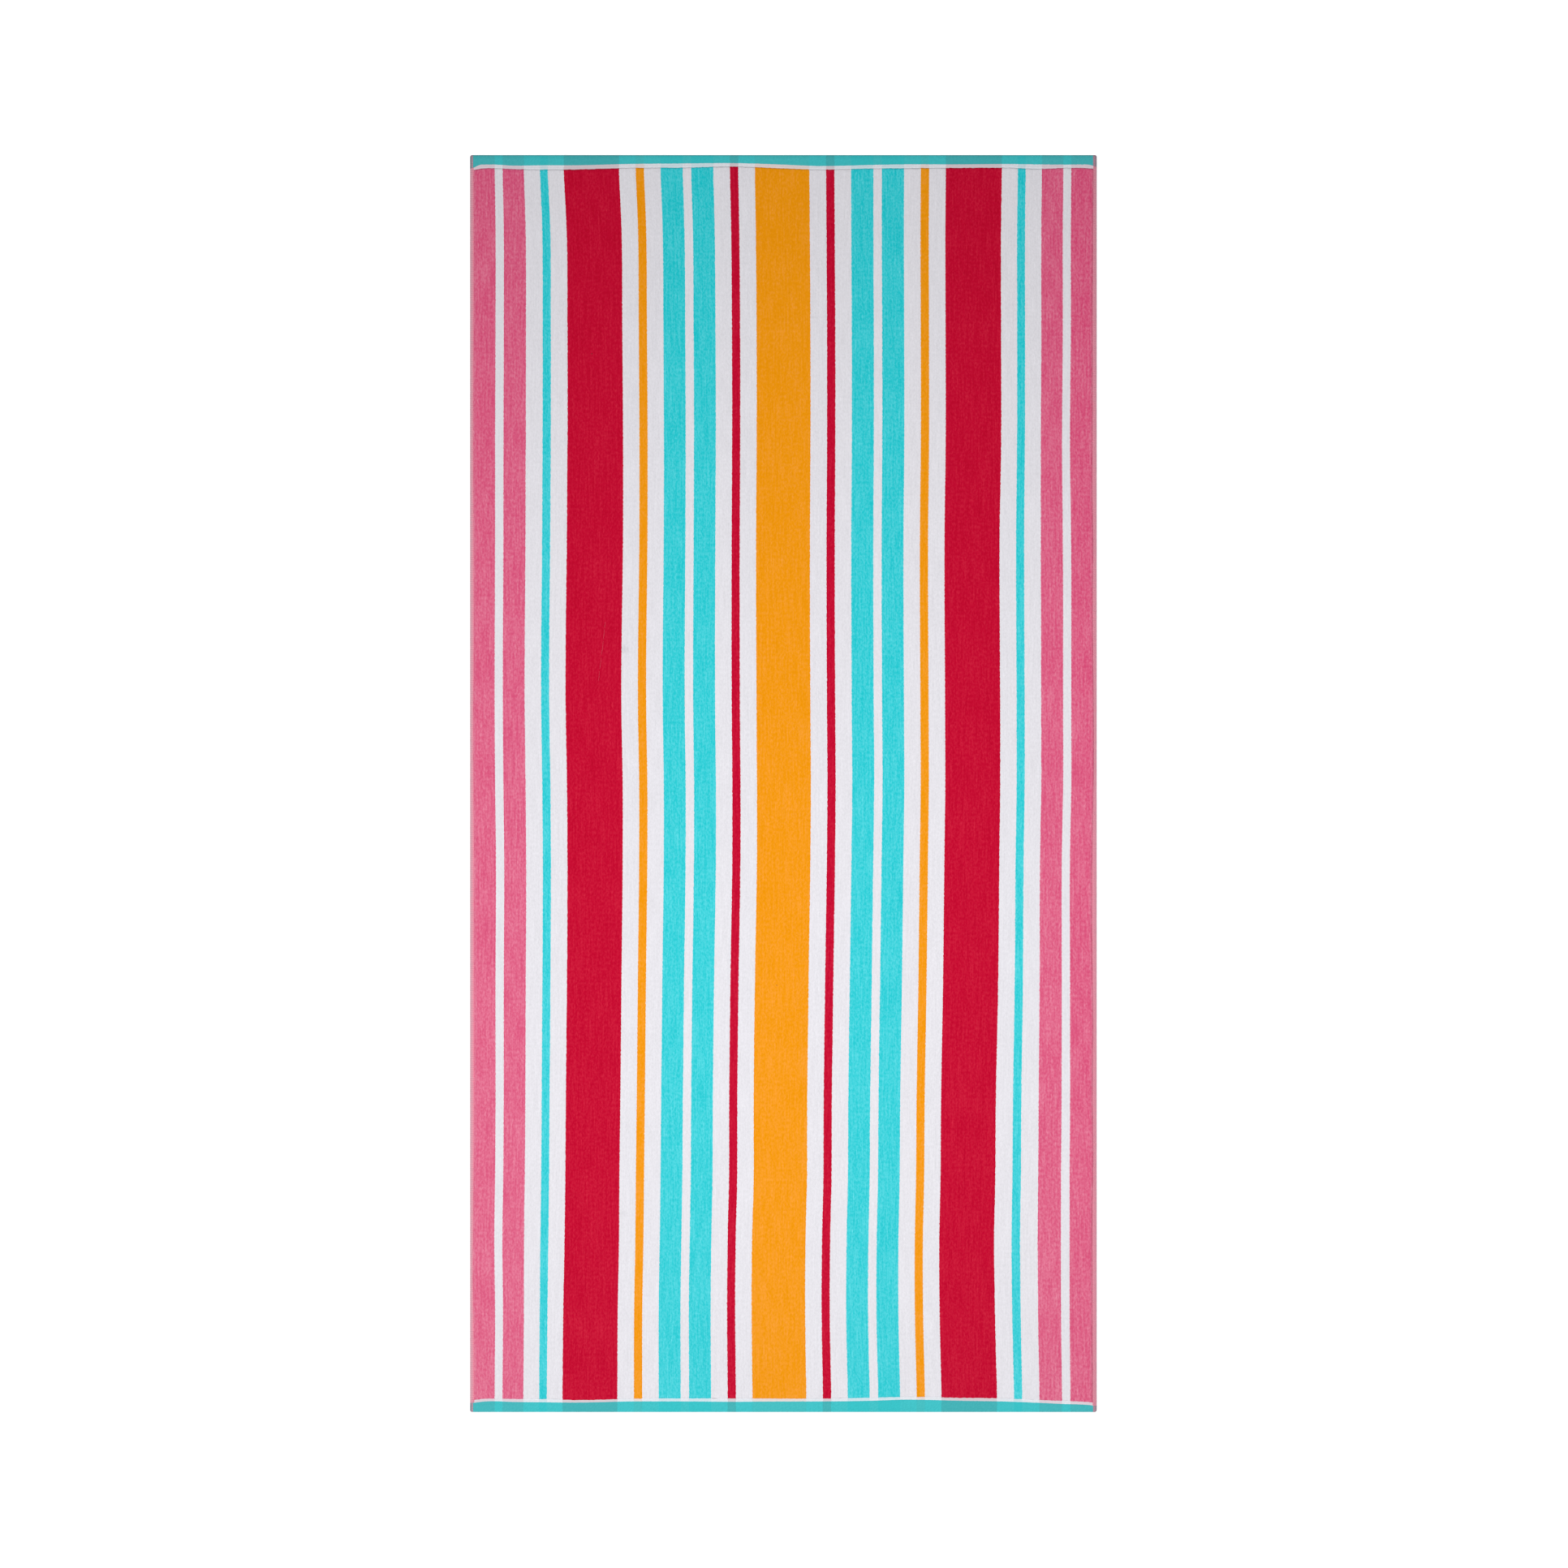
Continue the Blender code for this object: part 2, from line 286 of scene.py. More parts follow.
class Cloth:
    """Collects the points and faces of one piece, and where each face lies on its pattern."""

    def __init__(self):
        self.points = []
        self.count = 0
        self.faces = {}

    def add_points(self, points):
        ids = np.arange(self.count, self.count + len(points))
        self.points.append(points)
        self.count += len(points)
        return ids

    def add_ring(self, points):
        """The vertex of each point of a ring, where points that repeat share one."""
        fresh = np.any(np.abs(points - np.roll(points, 1, axis=0)) > SAME_PLACE, axis=1)
        fresh[0] = True
        ids = self.add_points(points[fresh])
        return ids[np.cumsum(fresh) - 1]

    def add_faces(self, corners, flat=None):
        """Faces from their corners, and the flat places of those corners on the pattern."""
        if flat is None:
            flat = np.full(corners.shape + (2,), np.nan)
        self.faces.setdefault(corners.shape[1], []).append((corners, flat))

    def join(self, first, second, flat=None):
        """Faces between two rings, the first the upper or the inner one."""
        corners = np.stack([first, second, np.roll(second, -1), np.roll(first, -1)], axis=1)
        upper = corners[:, 0] == corners[:, 3]
        lower = corners[:, 1] == corners[:, 2]
        for faces, kept in (
            (~upper & ~lower, [0, 1, 2, 3]),
            (upper & ~lower, [0, 1, 2]),
            (~upper & lower, [0, 1, 3]),
        ):
            picked = None if flat is None else flat[faces][:, kept]
            self.add_faces(corners[faces][:, kept], picked)

    def close(self, ring, facing_up):
        """One flat face inside a ring."""
        ids = ring[ring != np.roll(ring, 1)]
        self.add_faces(ids[None] if facing_up else ids[None, ::-1])

    def add_grid(self, x, y, z, pattern):
        """A grid of faces over rows of points, and the ring of its rim."""
        ids = self.add_points(np.stack([x, y, z], axis=-1).reshape(-1, 3)).reshape(x.shape)
        corners = [ids[:-1, :-1], ids[:-1, 1:], ids[1:, 1:], ids[1:, :-1]]
        corners = np.stack(corners, axis=-1).reshape(-1, 4)
        spots = corners - ids[0, 0]
        self.add_faces(corners, pattern(x.ravel()[spots], y.ravel()[spots]))
        return np.concatenate([ids[0, :-1], ids[:-1, -1], ids[-1, :0:-1], ids[:0:-1, 0]])

    def make(self, name):
        """The finished piece, smooth but for its sharp rims."""
        points = np.concatenate(self.points)
        kinds = self.faces.values()
        groups = [np.concatenate([corners for corners, _ in kind]) for kind in kinds]
        flats = [flat.reshape(-1, 2) for kind in kinds for _, flat in kind]
        totals = np.concatenate([np.full(len(group), group.shape[1]) for group in groups])
        mesh = bpy.data.meshes.new(name)
        mesh.vertices.add(len(points))
        mesh.vertices.foreach_set("co", points.astype(np.float32).ravel())
        corners = np.concatenate([group.ravel() for group in groups])
        mesh.loops.add(len(corners))
        mesh.loops.foreach_set("vertex_index", corners.astype(np.int32))
        mesh.polygons.add(len(totals))
        mesh.polygons.foreach_set("loop_start", (np.cumsum(totals) - totals).astype(np.int32))
        mesh.update(calc_edges=True)
        lay_out(mesh, np.concatenate(flats), np.cumsum(totals) - totals)
        mesh.validate()
        mesh.shade_smooth()
        mesh.set_sharp_from_angle(angle=SHARP_ANGLE)
        piece = bpy.data.objects.new(name, mesh)
        bpy.context.scene.collection.objects.link(piece)
        return piece


print("patterns have gaps of", PATTERN_GAP / MM, "mm")

# %% Lay patterns out and measure pieces
def lay_out(mesh, flat, first_corners):
    """Scales the pattern to a square sheet. Faces that aren't on it get the second slot."""
    laid = ~np.isnan(flat[:, 0])
    if not laid.any():
        return
    low = flat[laid].min(axis=0) - PATTERN_GAP
    side = (flat[laid].max(axis=0) + PATTERN_GAP - low).max()
    on_sheet = np.where(laid[:, None], (flat - low) / side, 0.0)
    layer = mesh.uv_layers.new(name=PATTERN_MAP, do_init=False)
    layer.uv.foreach_set("vector", on_sheet.astype(np.float32).ravel())
    mesh.polygons.foreach_set("material_index", (~laid[first_corners]).astype(np.int32))
    print(f"{mesh.name}: pattern on a sheet {side:.3f} m square")


def mesh_points(piece):
    points = np.empty(len(piece.data.vertices) * 3, np.float32)
    piece.data.vertices.foreach_get("co", points)
    return points.reshape(-1, 3).astype(float)


def triangle_count(piece):
    piece.data.calc_loop_triangles()
    return len(piece.data.loop_triangles)


print("patterns go in the map", PATTERN_MAP)

# %% [markdown]
# ## The flat cloth and its turned hems
# Without its pile the towel is a plain woven sheet. Its edges are turned to the back once and
# lie as two layers with a little air between them. The section of such a hem is a short list of
# places: how far in from the edge, and how high. Lofting rings through that list gives the whole
# rim at once, and the corners are mitred by the rings themselves.
# At the sides the stitches pull the hem down every few millimetres, so it stands up in small
# ribs between them. The rows along the sides are close enough to show every rib.

# %% Lay out the points around the towel
LAYER = 1.0 * MM
HEM_SLIT = 0.3 * MM
HEM_HEIGHT = 2 * LAYER + HEM_SLIT
PILE_HEIGHT = 3.0 * MM
CORNER_RADIUS = 2.5 * MM
SIDE_FLAP = 6.5 * MM
END_FLAP = 16.0 * MM
FLAP_GAP = 0.8 * MM
FOLD_DEPTH = 0.9 * MM
SIDE_STEP = 0.50 * MM
END_STEP = 3.0 * MM
CORNER_STEPS = 8
COARSE = 10

RimPoint = namedtuple("RimPoint", "kind sign_x sign_y place turn")
END, SIDE, CORNER = 0, 1, 2


def rim_plan():
    """Once around the towel, anticlockwise from the middle of the near end."""
    across = np.linspace(0, HALF_WIDTH - CORNER_RADIUS, round(HALF_WIDTH / END_STEP))
    reach = HALF_LENGTH - CORNER_RADIUS
    along = np.linspace(-reach, reach, round(2 * reach / SIDE_STEP))
    turns = np.linspace(0, math.pi / 2, CORNER_STEPS + 1)[1:-1]
    parts = [
        (END, 1, -1, across, 0.0),
        (CORNER, 1, -1, 0.0, turns - math.pi / 2),
        (SIDE, 1, 1, along, 0.0),
        (CORNER, 1, 1, 0.0, turns),
        (END, 1, 1, across[::-1], 0.0),
        (END, -1, 1, -across[1:], 0.0),
        (CORNER, -1, 1, 0.0, turns + math.pi / 2),
        (SIDE, -1, 1, along[::-1], 0.0),
        (CORNER, -1, -1, 0.0, turns + math.pi),
        (END, -1, -1, -across[:0:-1], 0.0),
    ]
    columns = []
    for part in parts:
        length = max(np.size(part[3]), np.size(part[4]))
        columns.append([np.broadcast_to(np.asarray(value, float), length) for value in part])
    return RimPoint(*[np.concatenate(column) for column in zip(*columns)])


RIM = rim_plan()
print(len(RIM.kind), "points once around the rim")

# %% Place the points of one ring
def drawn_together():
    """For each point of the rim, the one it joins where every few along the sides are one."""
    drawn = np.arange(len(RIM.kind))
    for sign in (-1, 1):
        side = np.flatnonzero((RIM.kind == SIDE) & (RIM.sign_x == sign))
        drawn[side] = side[np.minimum(np.arange(len(side)) // COARSE * COARSE, len(side) - 1)]
    return drawn


def ring_at(plan, side, end):
    """Points of a ring that lies in from the edge by side(y, sign) and end(x, sign)."""
    x = np.zeros(len(plan.kind))
    y = np.zeros(len(plan.kind))
    corner_side = side(plan.sign_y * HALF_LENGTH, plan.sign_x)
    corner_end = end(plan.sign_x * HALF_WIDTH, plan.sign_y)
    ends = plan.kind == END
    limit = HALF_WIDTH - corner_side
    x[ends] = np.clip(plan.place, -limit, limit)[ends]
    y[ends] = (plan.sign_y * (HALF_LENGTH - end(x, plan.sign_y)))[ends]
    sides = plan.kind == SIDE
    half_sign = np.sign(plan.place)
    limit = HALF_LENGTH - end(plan.sign_x * HALF_WIDTH, half_sign)
    y[sides] = np.clip(plan.place, -limit, limit)[sides]
    x[sides] = (plan.sign_x * (HALF_WIDTH - side(y, plan.sign_x)))[sides]
    corners = plan.kind == CORNER
    x[corners] = (plan.sign_x * (HALF_WIDTH - corner_side))[corners]
    y[corners] = (plan.sign_y * (HALF_LENGTH - corner_end))[corners]
    rounded = corners & (corner_side < CORNER_RADIUS) & (corner_end < CORNER_RADIUS)
    radius = CORNER_RADIUS - corner_side
    centre_x = plan.sign_x * (HALF_WIDTH - CORNER_RADIUS)
    centre_y = plan.sign_y * (HALF_LENGTH - CORNER_RADIUS)
    x[rounded] = (centre_x + radius * np.cos(plan.turn))[rounded]
    y[rounded] = (centre_y + radius * np.sin(plan.turn))[rounded]
    return x, y


print(len(np.unique(drawn_together())), "of them stay where the sides are drawn together")

# %% Pull the side hems into ribs
STITCH_LEFT = 2.67 * MM
STITCH_RIGHT = 2.80 * MM
STITCH_SLANT = 0.02
RIB_HEIGHT = 0.12 * MM
MEAN_DENT = 3 / 8
HAIR = 0.01 * MM
RIGHT_PULL = 0.7
UNEVEN_PULL = 0.5
PULL_NOISE = (0.05, 0.009, 5)


def stitch_turns(x, y):
    """Turns of the stitching along a side hem: whole numbers at the needle holes, a little
    slanted.
    """
    slant = STITCH_SLANT * (HALF_WIDTH - np.abs(x)) / MM
    return np.where(x < 0, y / STITCH_LEFT, y / STITCH_RIGHT) + slant


def pull(x, y):
    """How hard the stitches pull: more on the left hem, and never quite even."""
    side = np.where(x < 0, 1.0, RIGHT_PULL)
    return side * (1 + UNEVEN_PULL * soft_noise(x, y, *PULL_NOISE))


def ribs(x, y, strength):
    """The hem pulled down at each needle hole and standing up in a rib between two."""
    dent = (0.5 + 0.5 * np.cos(2 * math.pi * stitch_turns(x, y))) ** 2
    return RIB_HEIGHT * strength * 2 * (MEAN_DENT - dent) * pull(x, y)


def in_side_hem(x, y):
    """True in the hem and on its inner line, give or take a hair."""
    return HALF_WIDTH - np.abs(x) < side_inset(y, np.sign(x)) + HAIR


probe = ribs(np.full(9, HALF_WIDTH), np.linspace(0, STITCH_RIGHT, 9), 1.0)
print(f"a rib stands {np.ptp(probe) / MM:.2f} mm above its dents")

# %% Write down the section of a hem
def fixed(value):
    return lambda place, sign: np.full(np.shape(place), value)


def share_of_hem(share, extra=0.0):
    return lambda y, sign: share * side_inset(y, sign) + extra


def share_of_line(share, line, extra=0.0):
    return lambda x, sign: share * end_inset(x, sign, line) + extra


def within_line(share):
    """Places across the white line: 0 where the weft turns white, 1 where the pile starts."""
    def inset(x, sign):
        line = (1 - share) * end_inset(x, sign, "line")
        return line + share * end_inset(x, sign, "pile")

    return inset


def both(value):
    """The same inset at the sides and at the ends."""
    return fixed(value), fixed(value)


def flap(back=0.0):
    """The edge of the turned flap, or a little outside it."""
    return fixed(SIDE_FLAP - back), fixed(END_FLAP - back)


Fold = namedtuple("Fold", "side end height rib fine")
CORD = 0.11 * MM
DIP = 0.04 * MM
ROUND = 0.2 * MM
DEEP_IN = (fixed(10 * MM), fixed(25 * MM))
HEM_SECTION = (
    Fold(*DEEP_IN, 2.0 * MM, 0.0, False),
    Fold(share_of_hem(1, 1.4 * MM), share_of_line(1, "pile", 1.4 * MM), 2.20 * MM, 0.0, False),
    Fold(share_of_hem(1), within_line(1.0), HEM_HEIGHT - 0.12 * MM, 0.3, True),
    Fold(share_of_hem(0.90), within_line(0.86), HEM_HEIGHT - DIP, 0.8, True),
    Fold(share_of_hem(0.78), within_line(0.64), HEM_HEIGHT + CORD, 1.0, True),
    Fold(share_of_hem(0.66), within_line(0.42), HEM_HEIGHT - DIP, 1.0, True),
    Fold(share_of_hem(0.54), within_line(0.20), HEM_HEIGHT + 0.7 * CORD, 1.0, True),
    Fold(share_of_hem(0.42), share_of_line(0.98, "line"), HEM_HEIGHT, 0.9, True),
    Fold(share_of_hem(0.30), share_of_line(0.45, "line"), HEM_HEIGHT, 0.8, True),
    Fold(*both(FOLD_DEPTH), 0.985 * HEM_HEIGHT, 0.7, True),
    Fold(*both(0.30 * FOLD_DEPTH), 0.86 * HEM_HEIGHT, 0.5, True),
    Fold(*both(0.05 * FOLD_DEPTH), 0.66 * HEM_HEIGHT, 0.2, True),
    Fold(*both(0.0), 0.48 * HEM_HEIGHT, 0.0, False),
    Fold(*both(0.06 * FOLD_DEPTH), 0.28 * HEM_HEIGHT, 0.0, False),
    Fold(*both(0.40 * FOLD_DEPTH), 0.08 * HEM_HEIGHT, 0.0, False),
    Fold(*both(FOLD_DEPTH), 0.0, 0.0, False),
    Fold(*flap(back=0.3 * MM), 0.0, 0.0, False),
    Fold(*flap(), 0.3 * LAYER, 0.0, False),
    Fold(*flap(), 0.8 * LAYER, 0.0, False),
    Fold(*flap(back=ROUND), LAYER, 0.0, False),
    Fold(*both(FOLD_DEPTH + ROUND), LAYER, 0.0, False),
    Fold(*both(FOLD_DEPTH), LAYER + 0.5 * HEM_SLIT, 0.0, False),
    Fold(*both(FOLD_DEPTH + ROUND), LAYER + HEM_SLIT, 0.0, False),
    Fold(*DEEP_IN, LAYER + HEM_SLIT, 0.0, False),
)
print("the hem's section has", len(HEM_SECTION), "folds")

# %% Lay the rim on its pattern
FIRST_SEEN_FOLD = 1
LAST_SEEN_FOLD = 19
LEAST_STEP = 0.4 * MM
END_LENGTHS = 4
SIDE_LENGTHS = 8


def rim_lengths():
    """The length of the pattern that holds the faces after each point: 2 an end, 4 a side."""
    side = (RIM.kind == SIDE) | (np.roll(RIM.kind, -1) == SIDE)
    place = np.where(RIM.kind == SIDE, RIM.place, np.roll(RIM.place, -1))
    quarter = np.clip(np.floor(2 * (place / HALF_LENGTH + 1)), 0, 3)
    ends = 2 * (RIM.sign_x > 0) + (RIM.sign_y > 0)
    sides = END_LENGTHS + 4 * (RIM.sign_x > 0) + quarter
    return np.where(side, sides, ends).astype(int)


def unfolded(insets):
    """How far along the unfolded section each fold lies."""
    heights = np.array([fold.height for fold in HEM_SECTION])
    steps = np.hypot(np.diff(insets), np.diff(heights))
    down = np.concatenate([[0.0], np.cumsum(np.maximum(steps, LEAST_STEP))])
    return np.clip(down, down[FIRST_SEEN_FOLD], down[LAST_SEEN_FOLD]) - down[FIRST_SEEN_FOLD]


def rim_pattern(drawn):
    """Where the faces between two folds of the rim lie on the pattern."""
    middle = np.zeros(1)
    end_down = unfolded([fold.end(middle, 1)[0] for fold in HEM_SECTION])
    side_down = unfolded([fold.side(middle, 1)[0] for fold in HEM_SECTION])
    x, y = ring_at(RIM, fixed(0.0), fixed(0.0))
    steps = np.hypot(np.diff(x, append=x[0]), np.diff(y, append=y[0]))
    way = np.concatenate([[0.0], np.cumsum(steps)])
    length = rim_lengths()
    first = np.array([way[:-1][length == number].min() for number in range(length.max() + 1)])
    rows = [end_down[-1] + PATTERN_GAP] * END_LENGTHS
    rows += [side_down[-1] + PATTERN_GAP] * SIDE_LENGTHS
    top = np.concatenate([[0.0], np.cumsum(rows)])
    next_one = np.append(np.arange(1, len(length)), 0)

    def flat(upper, lower):
        corners = []
        for fold, after in ((upper, False), (lower, False), (lower, True), (upper, True)):
            to = np.arange(len(length)) if HEM_SECTION[fold].fine else drawn
            along = way[to]
            if after:
                along = np.where(next_one == 0, way[-1], way[to[next_one]])
            down = np.where(length < END_LENGTHS, end_down[fold], side_down[fold])
            corners.append(np.stack([along - first[length], -top[length] - down], axis=1))
        return np.stack(corners, axis=1)

    return flat


print("the rim's pattern has", rim_lengths().max() + 1, "lengths")

# %% Loft the flat cloth
UNEVEN_WEAVE = 0.05 * MM
UNEVEN_NOISE = (0.006, 0.003, 6)


def make_flat_cloth():
    cloth = Cloth()
    drawn = drawn_together()
    coarse = RIM._replace(place=RIM.place[drawn])
    flat = rim_pattern(drawn)
    rings = []
    for fold in HEM_SECTION:
        x, y = ring_at(RIM if fold.fine else coarse, fold.side, fold.end)
        z = np.full(len(x), fold.height)
        if fold.rib:
            z = z + ribs(x, y, fold.rib) * in_side_hem(x, y)
            z = z + UNEVEN_WEAVE * soft_noise(x, y, *UNEVEN_NOISE)
        rings.append(cloth.add_ring(np.stack([x, y, z], axis=1)))
    for upper in range(len(rings) - 1):
        seen = FIRST_SEEN_FOLD <= upper < LAST_SEEN_FOLD
        cloth.join(rings[upper], rings[upper + 1], flat(upper, upper + 1) if seen else None)
    cloth.close(rings[0], True)
    cloth.close(rings[-1], False)
    return cloth.make("flat_cloth")


flat_cloth = make_flat_cloth()
print("flat cloth:", triangle_count(flat_cloth), "triangles")

# %% [markdown]
# ## The velour pile
# Sheared pile is a dense brush about a millimetre deep. Its tufts lean in small clumps, which
# is what makes the fine streaks, and the brush ends in a soft, slightly ragged shoulder where
# the flat weave begins. A height for every two millimetres carries the clumps as real relief.
# One mesh of that size would be slow to handle, so the pile is made in panels that meet along
# a warp line inside a white stripe. Neighbours share the points of that line, so no seam shows.

# %% Shape the pile
CELL_ACROSS = 1.75 * MM
CELL_ALONG = 2.05 * MM
SHOULDER = (0.0, 0.3, 0.75, 1.5)
SHOULDER_ROUND = 1.3 * MM
PILE_FOOT = 2.12 * MM
PILE_BOTTOM = 1.7 * MM
BORDER = 16.5 * MM
RAGGED = 0.42 * MM
RAGGED_CELL = 2.2 * MM
RAGGED_SIDE_CELL = 2.4 * MM
RAGGED_REACH = 2.5 * MM
PANEL_CUTS = (-0.2280, -0.0760, 0.0760, 0.2280)

Wave = namedtuple("Wave", "height across along shift")
WAVES = (
    Wave(0.14 * MM, 0.21, 0.55, 0.4),
    Wave(0.12 * MM, -0.34, 0.29, 1.9),
    Wave(0.09 * MM, 0.47, -0.19, 3.1),
)
WAVE_MARGIN = 0.040
Clump = namedtuple("Clump", "height across along seed")
CLUMPS = (
    Clump(0.060 * MM, 3.4 * MM, 6.5 * MM, 11),
    Clump(0.050 * MM, 4.6 * MM, 15.0 * MM, 12),
    Clump(0.060 * MM, 11.0 * MM, 24.0 * MM, 13),
    Clump(0.080 * MM, 31.0 * MM, 52.0 * MM, 14),
)


def stepped(length, cell):
    """Places from 0 to 1 over a length: close together at both shoulders, even in between."""
    near = np.array(SHOULDER) * MM
    inner = np.linspace(near[-1], length - near[-1], round((length - 2 * near[-1]) / cell) + 1)
    return np.concatenate([near[:-1], inner, length - near[-2::-1]]) / length


def pile_height(x, y, to_edge):
    """Height of the pile's surface: long waves, clumps, and the round shoulder at its edges."""
    edge = np.minimum(HALF_WIDTH - np.abs(x), HALF_LENGTH - np.abs(y))
    share = np.clip(edge / WAVE_MARGIN, 0, 1)
    share = share * share * (3 - 2 * share)
    waves = sum(
        wave.height * np.sin(2 * math.pi * (x / wave.across + y / wave.along) + wave.shift)
        for wave in WAVES
    )
    clumps = sum(
        clump.height * soft_noise(x, y, clump.across, clump.along, clump.seed)
        for clump in CLUMPS
    )
    top = PILE_HEIGHT + share * waves + clumps
    rise = np.clip(to_edge / SHOULDER_ROUND, 0, 1)
    rise = np.sqrt(rise * (2 - rise))
    return PILE_FOOT + (top - PILE_FOOT) * rise


probe = pile_height(np.zeros(1), np.zeros(1), np.ones(1))
print(f"the pile is {probe[0] / MM:.2f} mm high in the middle")

# %% Raise the pile in panels
def pile_grid():
    """The whole pile as rows of points, with the woven place u of each column."""
    across = stepped(2 * PILE_HALF, CELL_ACROSS)
    along = stepped(LENGTH - 2 * BORDER, CELL_ALONG)
    u = np.broadcast_to((across * 2 - 1) * PILE_HALF, (len(along), len(across)))
    rows = np.broadcast_to(along[:, None], u.shape)
    y = (rows * 2 - 1) * (HALF_LENGTH - BORDER)
    for _ in range(2):
        x = u + drift(u, y)
        ragged = RAGGED * soft_noise(x, y * 0, RAGGED_CELL, 1, 21)
        near = -HALF_LENGTH + end_inset(x, -1, "pile") + ragged
        far = HALF_LENGTH - end_inset(x, 1, "pile") + ragged
        y = near + rows * (far - near)
    side_ragged = 0.5 * RAGGED * soft_noise(y, y * 0, RAGGED_SIDE_CELL, 1, 22)
    to_side = PILE_HALF - np.abs(u)
    x = x + side_ragged * np.clip(1 - to_side / RAGGED_REACH, 0, 1)
    to_end = np.minimum(y - near, far - y)
    return u, x, y, pile_height(x, y, np.minimum(to_side, to_end))


PATTERN_LENGTHS = 3


def panel_pattern(x, y):
    """A panel of pile cut in lengths that lie side by side."""
    number = np.floor(PATTERN_LENGTHS * (y.mean(axis=1) / LENGTH + 0.5))[:, None]
    pitch = np.ptp(x) + PATTERN_GAP
    return np.stack([x + number * pitch, y - number * LENGTH / PATTERN_LENGTHS], axis=-1)


def make_pile():
    u, x, y, z = pile_grid()
    cuts = [np.argmin(np.abs(u[0] - cut)) for cut in PANEL_CUTS]
    starts = [0, *cuts]
    stops = [*cuts, u.shape[1] - 1]
    panels = []
    for number, (start, stop) in enumerate(zip(starts, stops), start=1):
        columns = slice(start, stop + 1)
        cloth = Cloth()
        rim = cloth.add_grid(x[:, columns], y[:, columns], z[:, columns], panel_pattern)
        top = np.concatenate(cloth.points)[rim]
        drawn = top[np.arange(len(rim)) // COARSE * COARSE]
        drawn[:, 2] = PILE_BOTTOM
        base = cloth.add_ring(drawn)
        cloth.join(rim, base)
        cloth.close(base, False)
        panels.append(cloth.make(f"velour_pile_{number}"))
    return panels


pile_panels = make_pile()
for panel in pile_panels:
    print(panel.name, triangle_count(panel), "triangles")

# %% [markdown]
# ## The looped back
# The back keeps its loops. It lies face down on the floor and fills the room between the turned
# hems, so it is made as one low panel whose loops only just touch the floor.

# %% Make the looped back
BACK_CELL = 5.0 * MM
BACK_TOP = 1.5 * MM
BACK_SHOULDER = 1.6 * MM
BACK_RISE = 0.8 * MM
LOOP_HEIGHT = 0.18 * MM
LOOP_NOISE = (5 * MM, 9 * MM, 31)


BACK_CUT = 0.36


def back_pattern(x, y):
    """The back cut in two, with the shorter length turned and laid beside the longer."""
    far = (y.mean(axis=1) > BACK_CUT)[:, None, None]
    beside = np.stack([y - BACK_CUT + HALF_WIDTH, x - HALF_LENGTH + HALF_WIDTH], axis=-1)
    return np.where(far, beside, np.stack([-x, y], axis=-1))


def make_back():
    half_width = HALF_WIDTH - SIDE_FLAP - FLAP_GAP
    half_length = HALF_LENGTH - END_FLAP - FLAP_GAP
    across = (stepped(2 * half_width, BACK_CELL) * 2 - 1) * half_width
    along = (stepped(2 * half_length, BACK_CELL) * 2 - 1) * half_length
    x, y = np.meshgrid(-across, along)
    to_edge = np.minimum(half_width - np.abs(x), half_length - np.abs(y))
    rise = 1 - np.clip(to_edge / BACK_SHOULDER, 0, 1)
    loops = 0.5 + 0.5 * soft_noise(x, y, *LOOP_NOISE)
    z = LOOP_HEIGHT * loops + BACK_RISE * rise * rise
    cloth = Cloth()
    rim = cloth.add_grid(x, y, z, back_pattern)
    upper = np.concatenate(cloth.points)[rim]
    upper[:, 2] = BACK_TOP
    top = cloth.add_ring(upper)
    cloth.join(rim, top)
    cloth.close(top, False)
    return cloth.make("terry_back")


terry_back = make_back()
print("back:", triangle_count(terry_back), "triangles")

# %% [markdown]
# ## Sewing
# A machine sews each side hem down close to the pile, with a stitch every 2.7 mm or so. Each
# stitch is a short piece of thread that rises out of one needle hole and dives into the next.
# One function sweeps a small tube along any line of points, and a loop places the stitches.

# %% Sweep a thread along a path
TUBE_SIDES = 6


def tube(cloth, path, radii):
    """A closed thread along a path of points, with a radius for each."""
    path = np.asarray(path, float)
    ahead = np.gradient(path, axis=0)
    ahead /= np.linalg.norm(ahead, axis=1, keepdims=True)
    side = np.cross(ahead, (0.0, 0.0, 1.0))
    side /= np.linalg.norm(side, axis=1, keepdims=True)
    up = np.cross(side, ahead)
    rings = []
    for point, right, top, radius in zip(path, side, up, radii):
        turns = np.arange(TUBE_SIDES) * 2 * math.pi / TUBE_SIDES
        round_it = np.outer(np.cos(turns), right) + np.outer(np.sin(turns), top)
        rings.append(cloth.add_points(point + radius * round_it))
    for first, second in zip(rings, rings[1:]):
        corners = [first, second, np.roll(second, -1), np.roll(first, -1)]
        cloth.add_faces(np.stack(corners, axis=1))
    cloth.add_faces(rings[0][None, :])
    cloth.add_faces(rings[-1][None, ::-1])


print("threads have", TUBE_SIDES, "sides")

# %% Sew the side hems
THREAD_RADIUS = 0.26 * MM
THREAD_THIN = 0.6
STITCH_POINTS = 5
STITCH_START = 0.06
STITCH_SHARE = 0.88
STITCH_LEAN = 0.35 * MM
STITCH_RISE = 0.40 * MM
STITCH_SINK = 0.26 * MM
SEAM_STRAY = 0.15 * MM
SEAM_END = 1.5 * MM


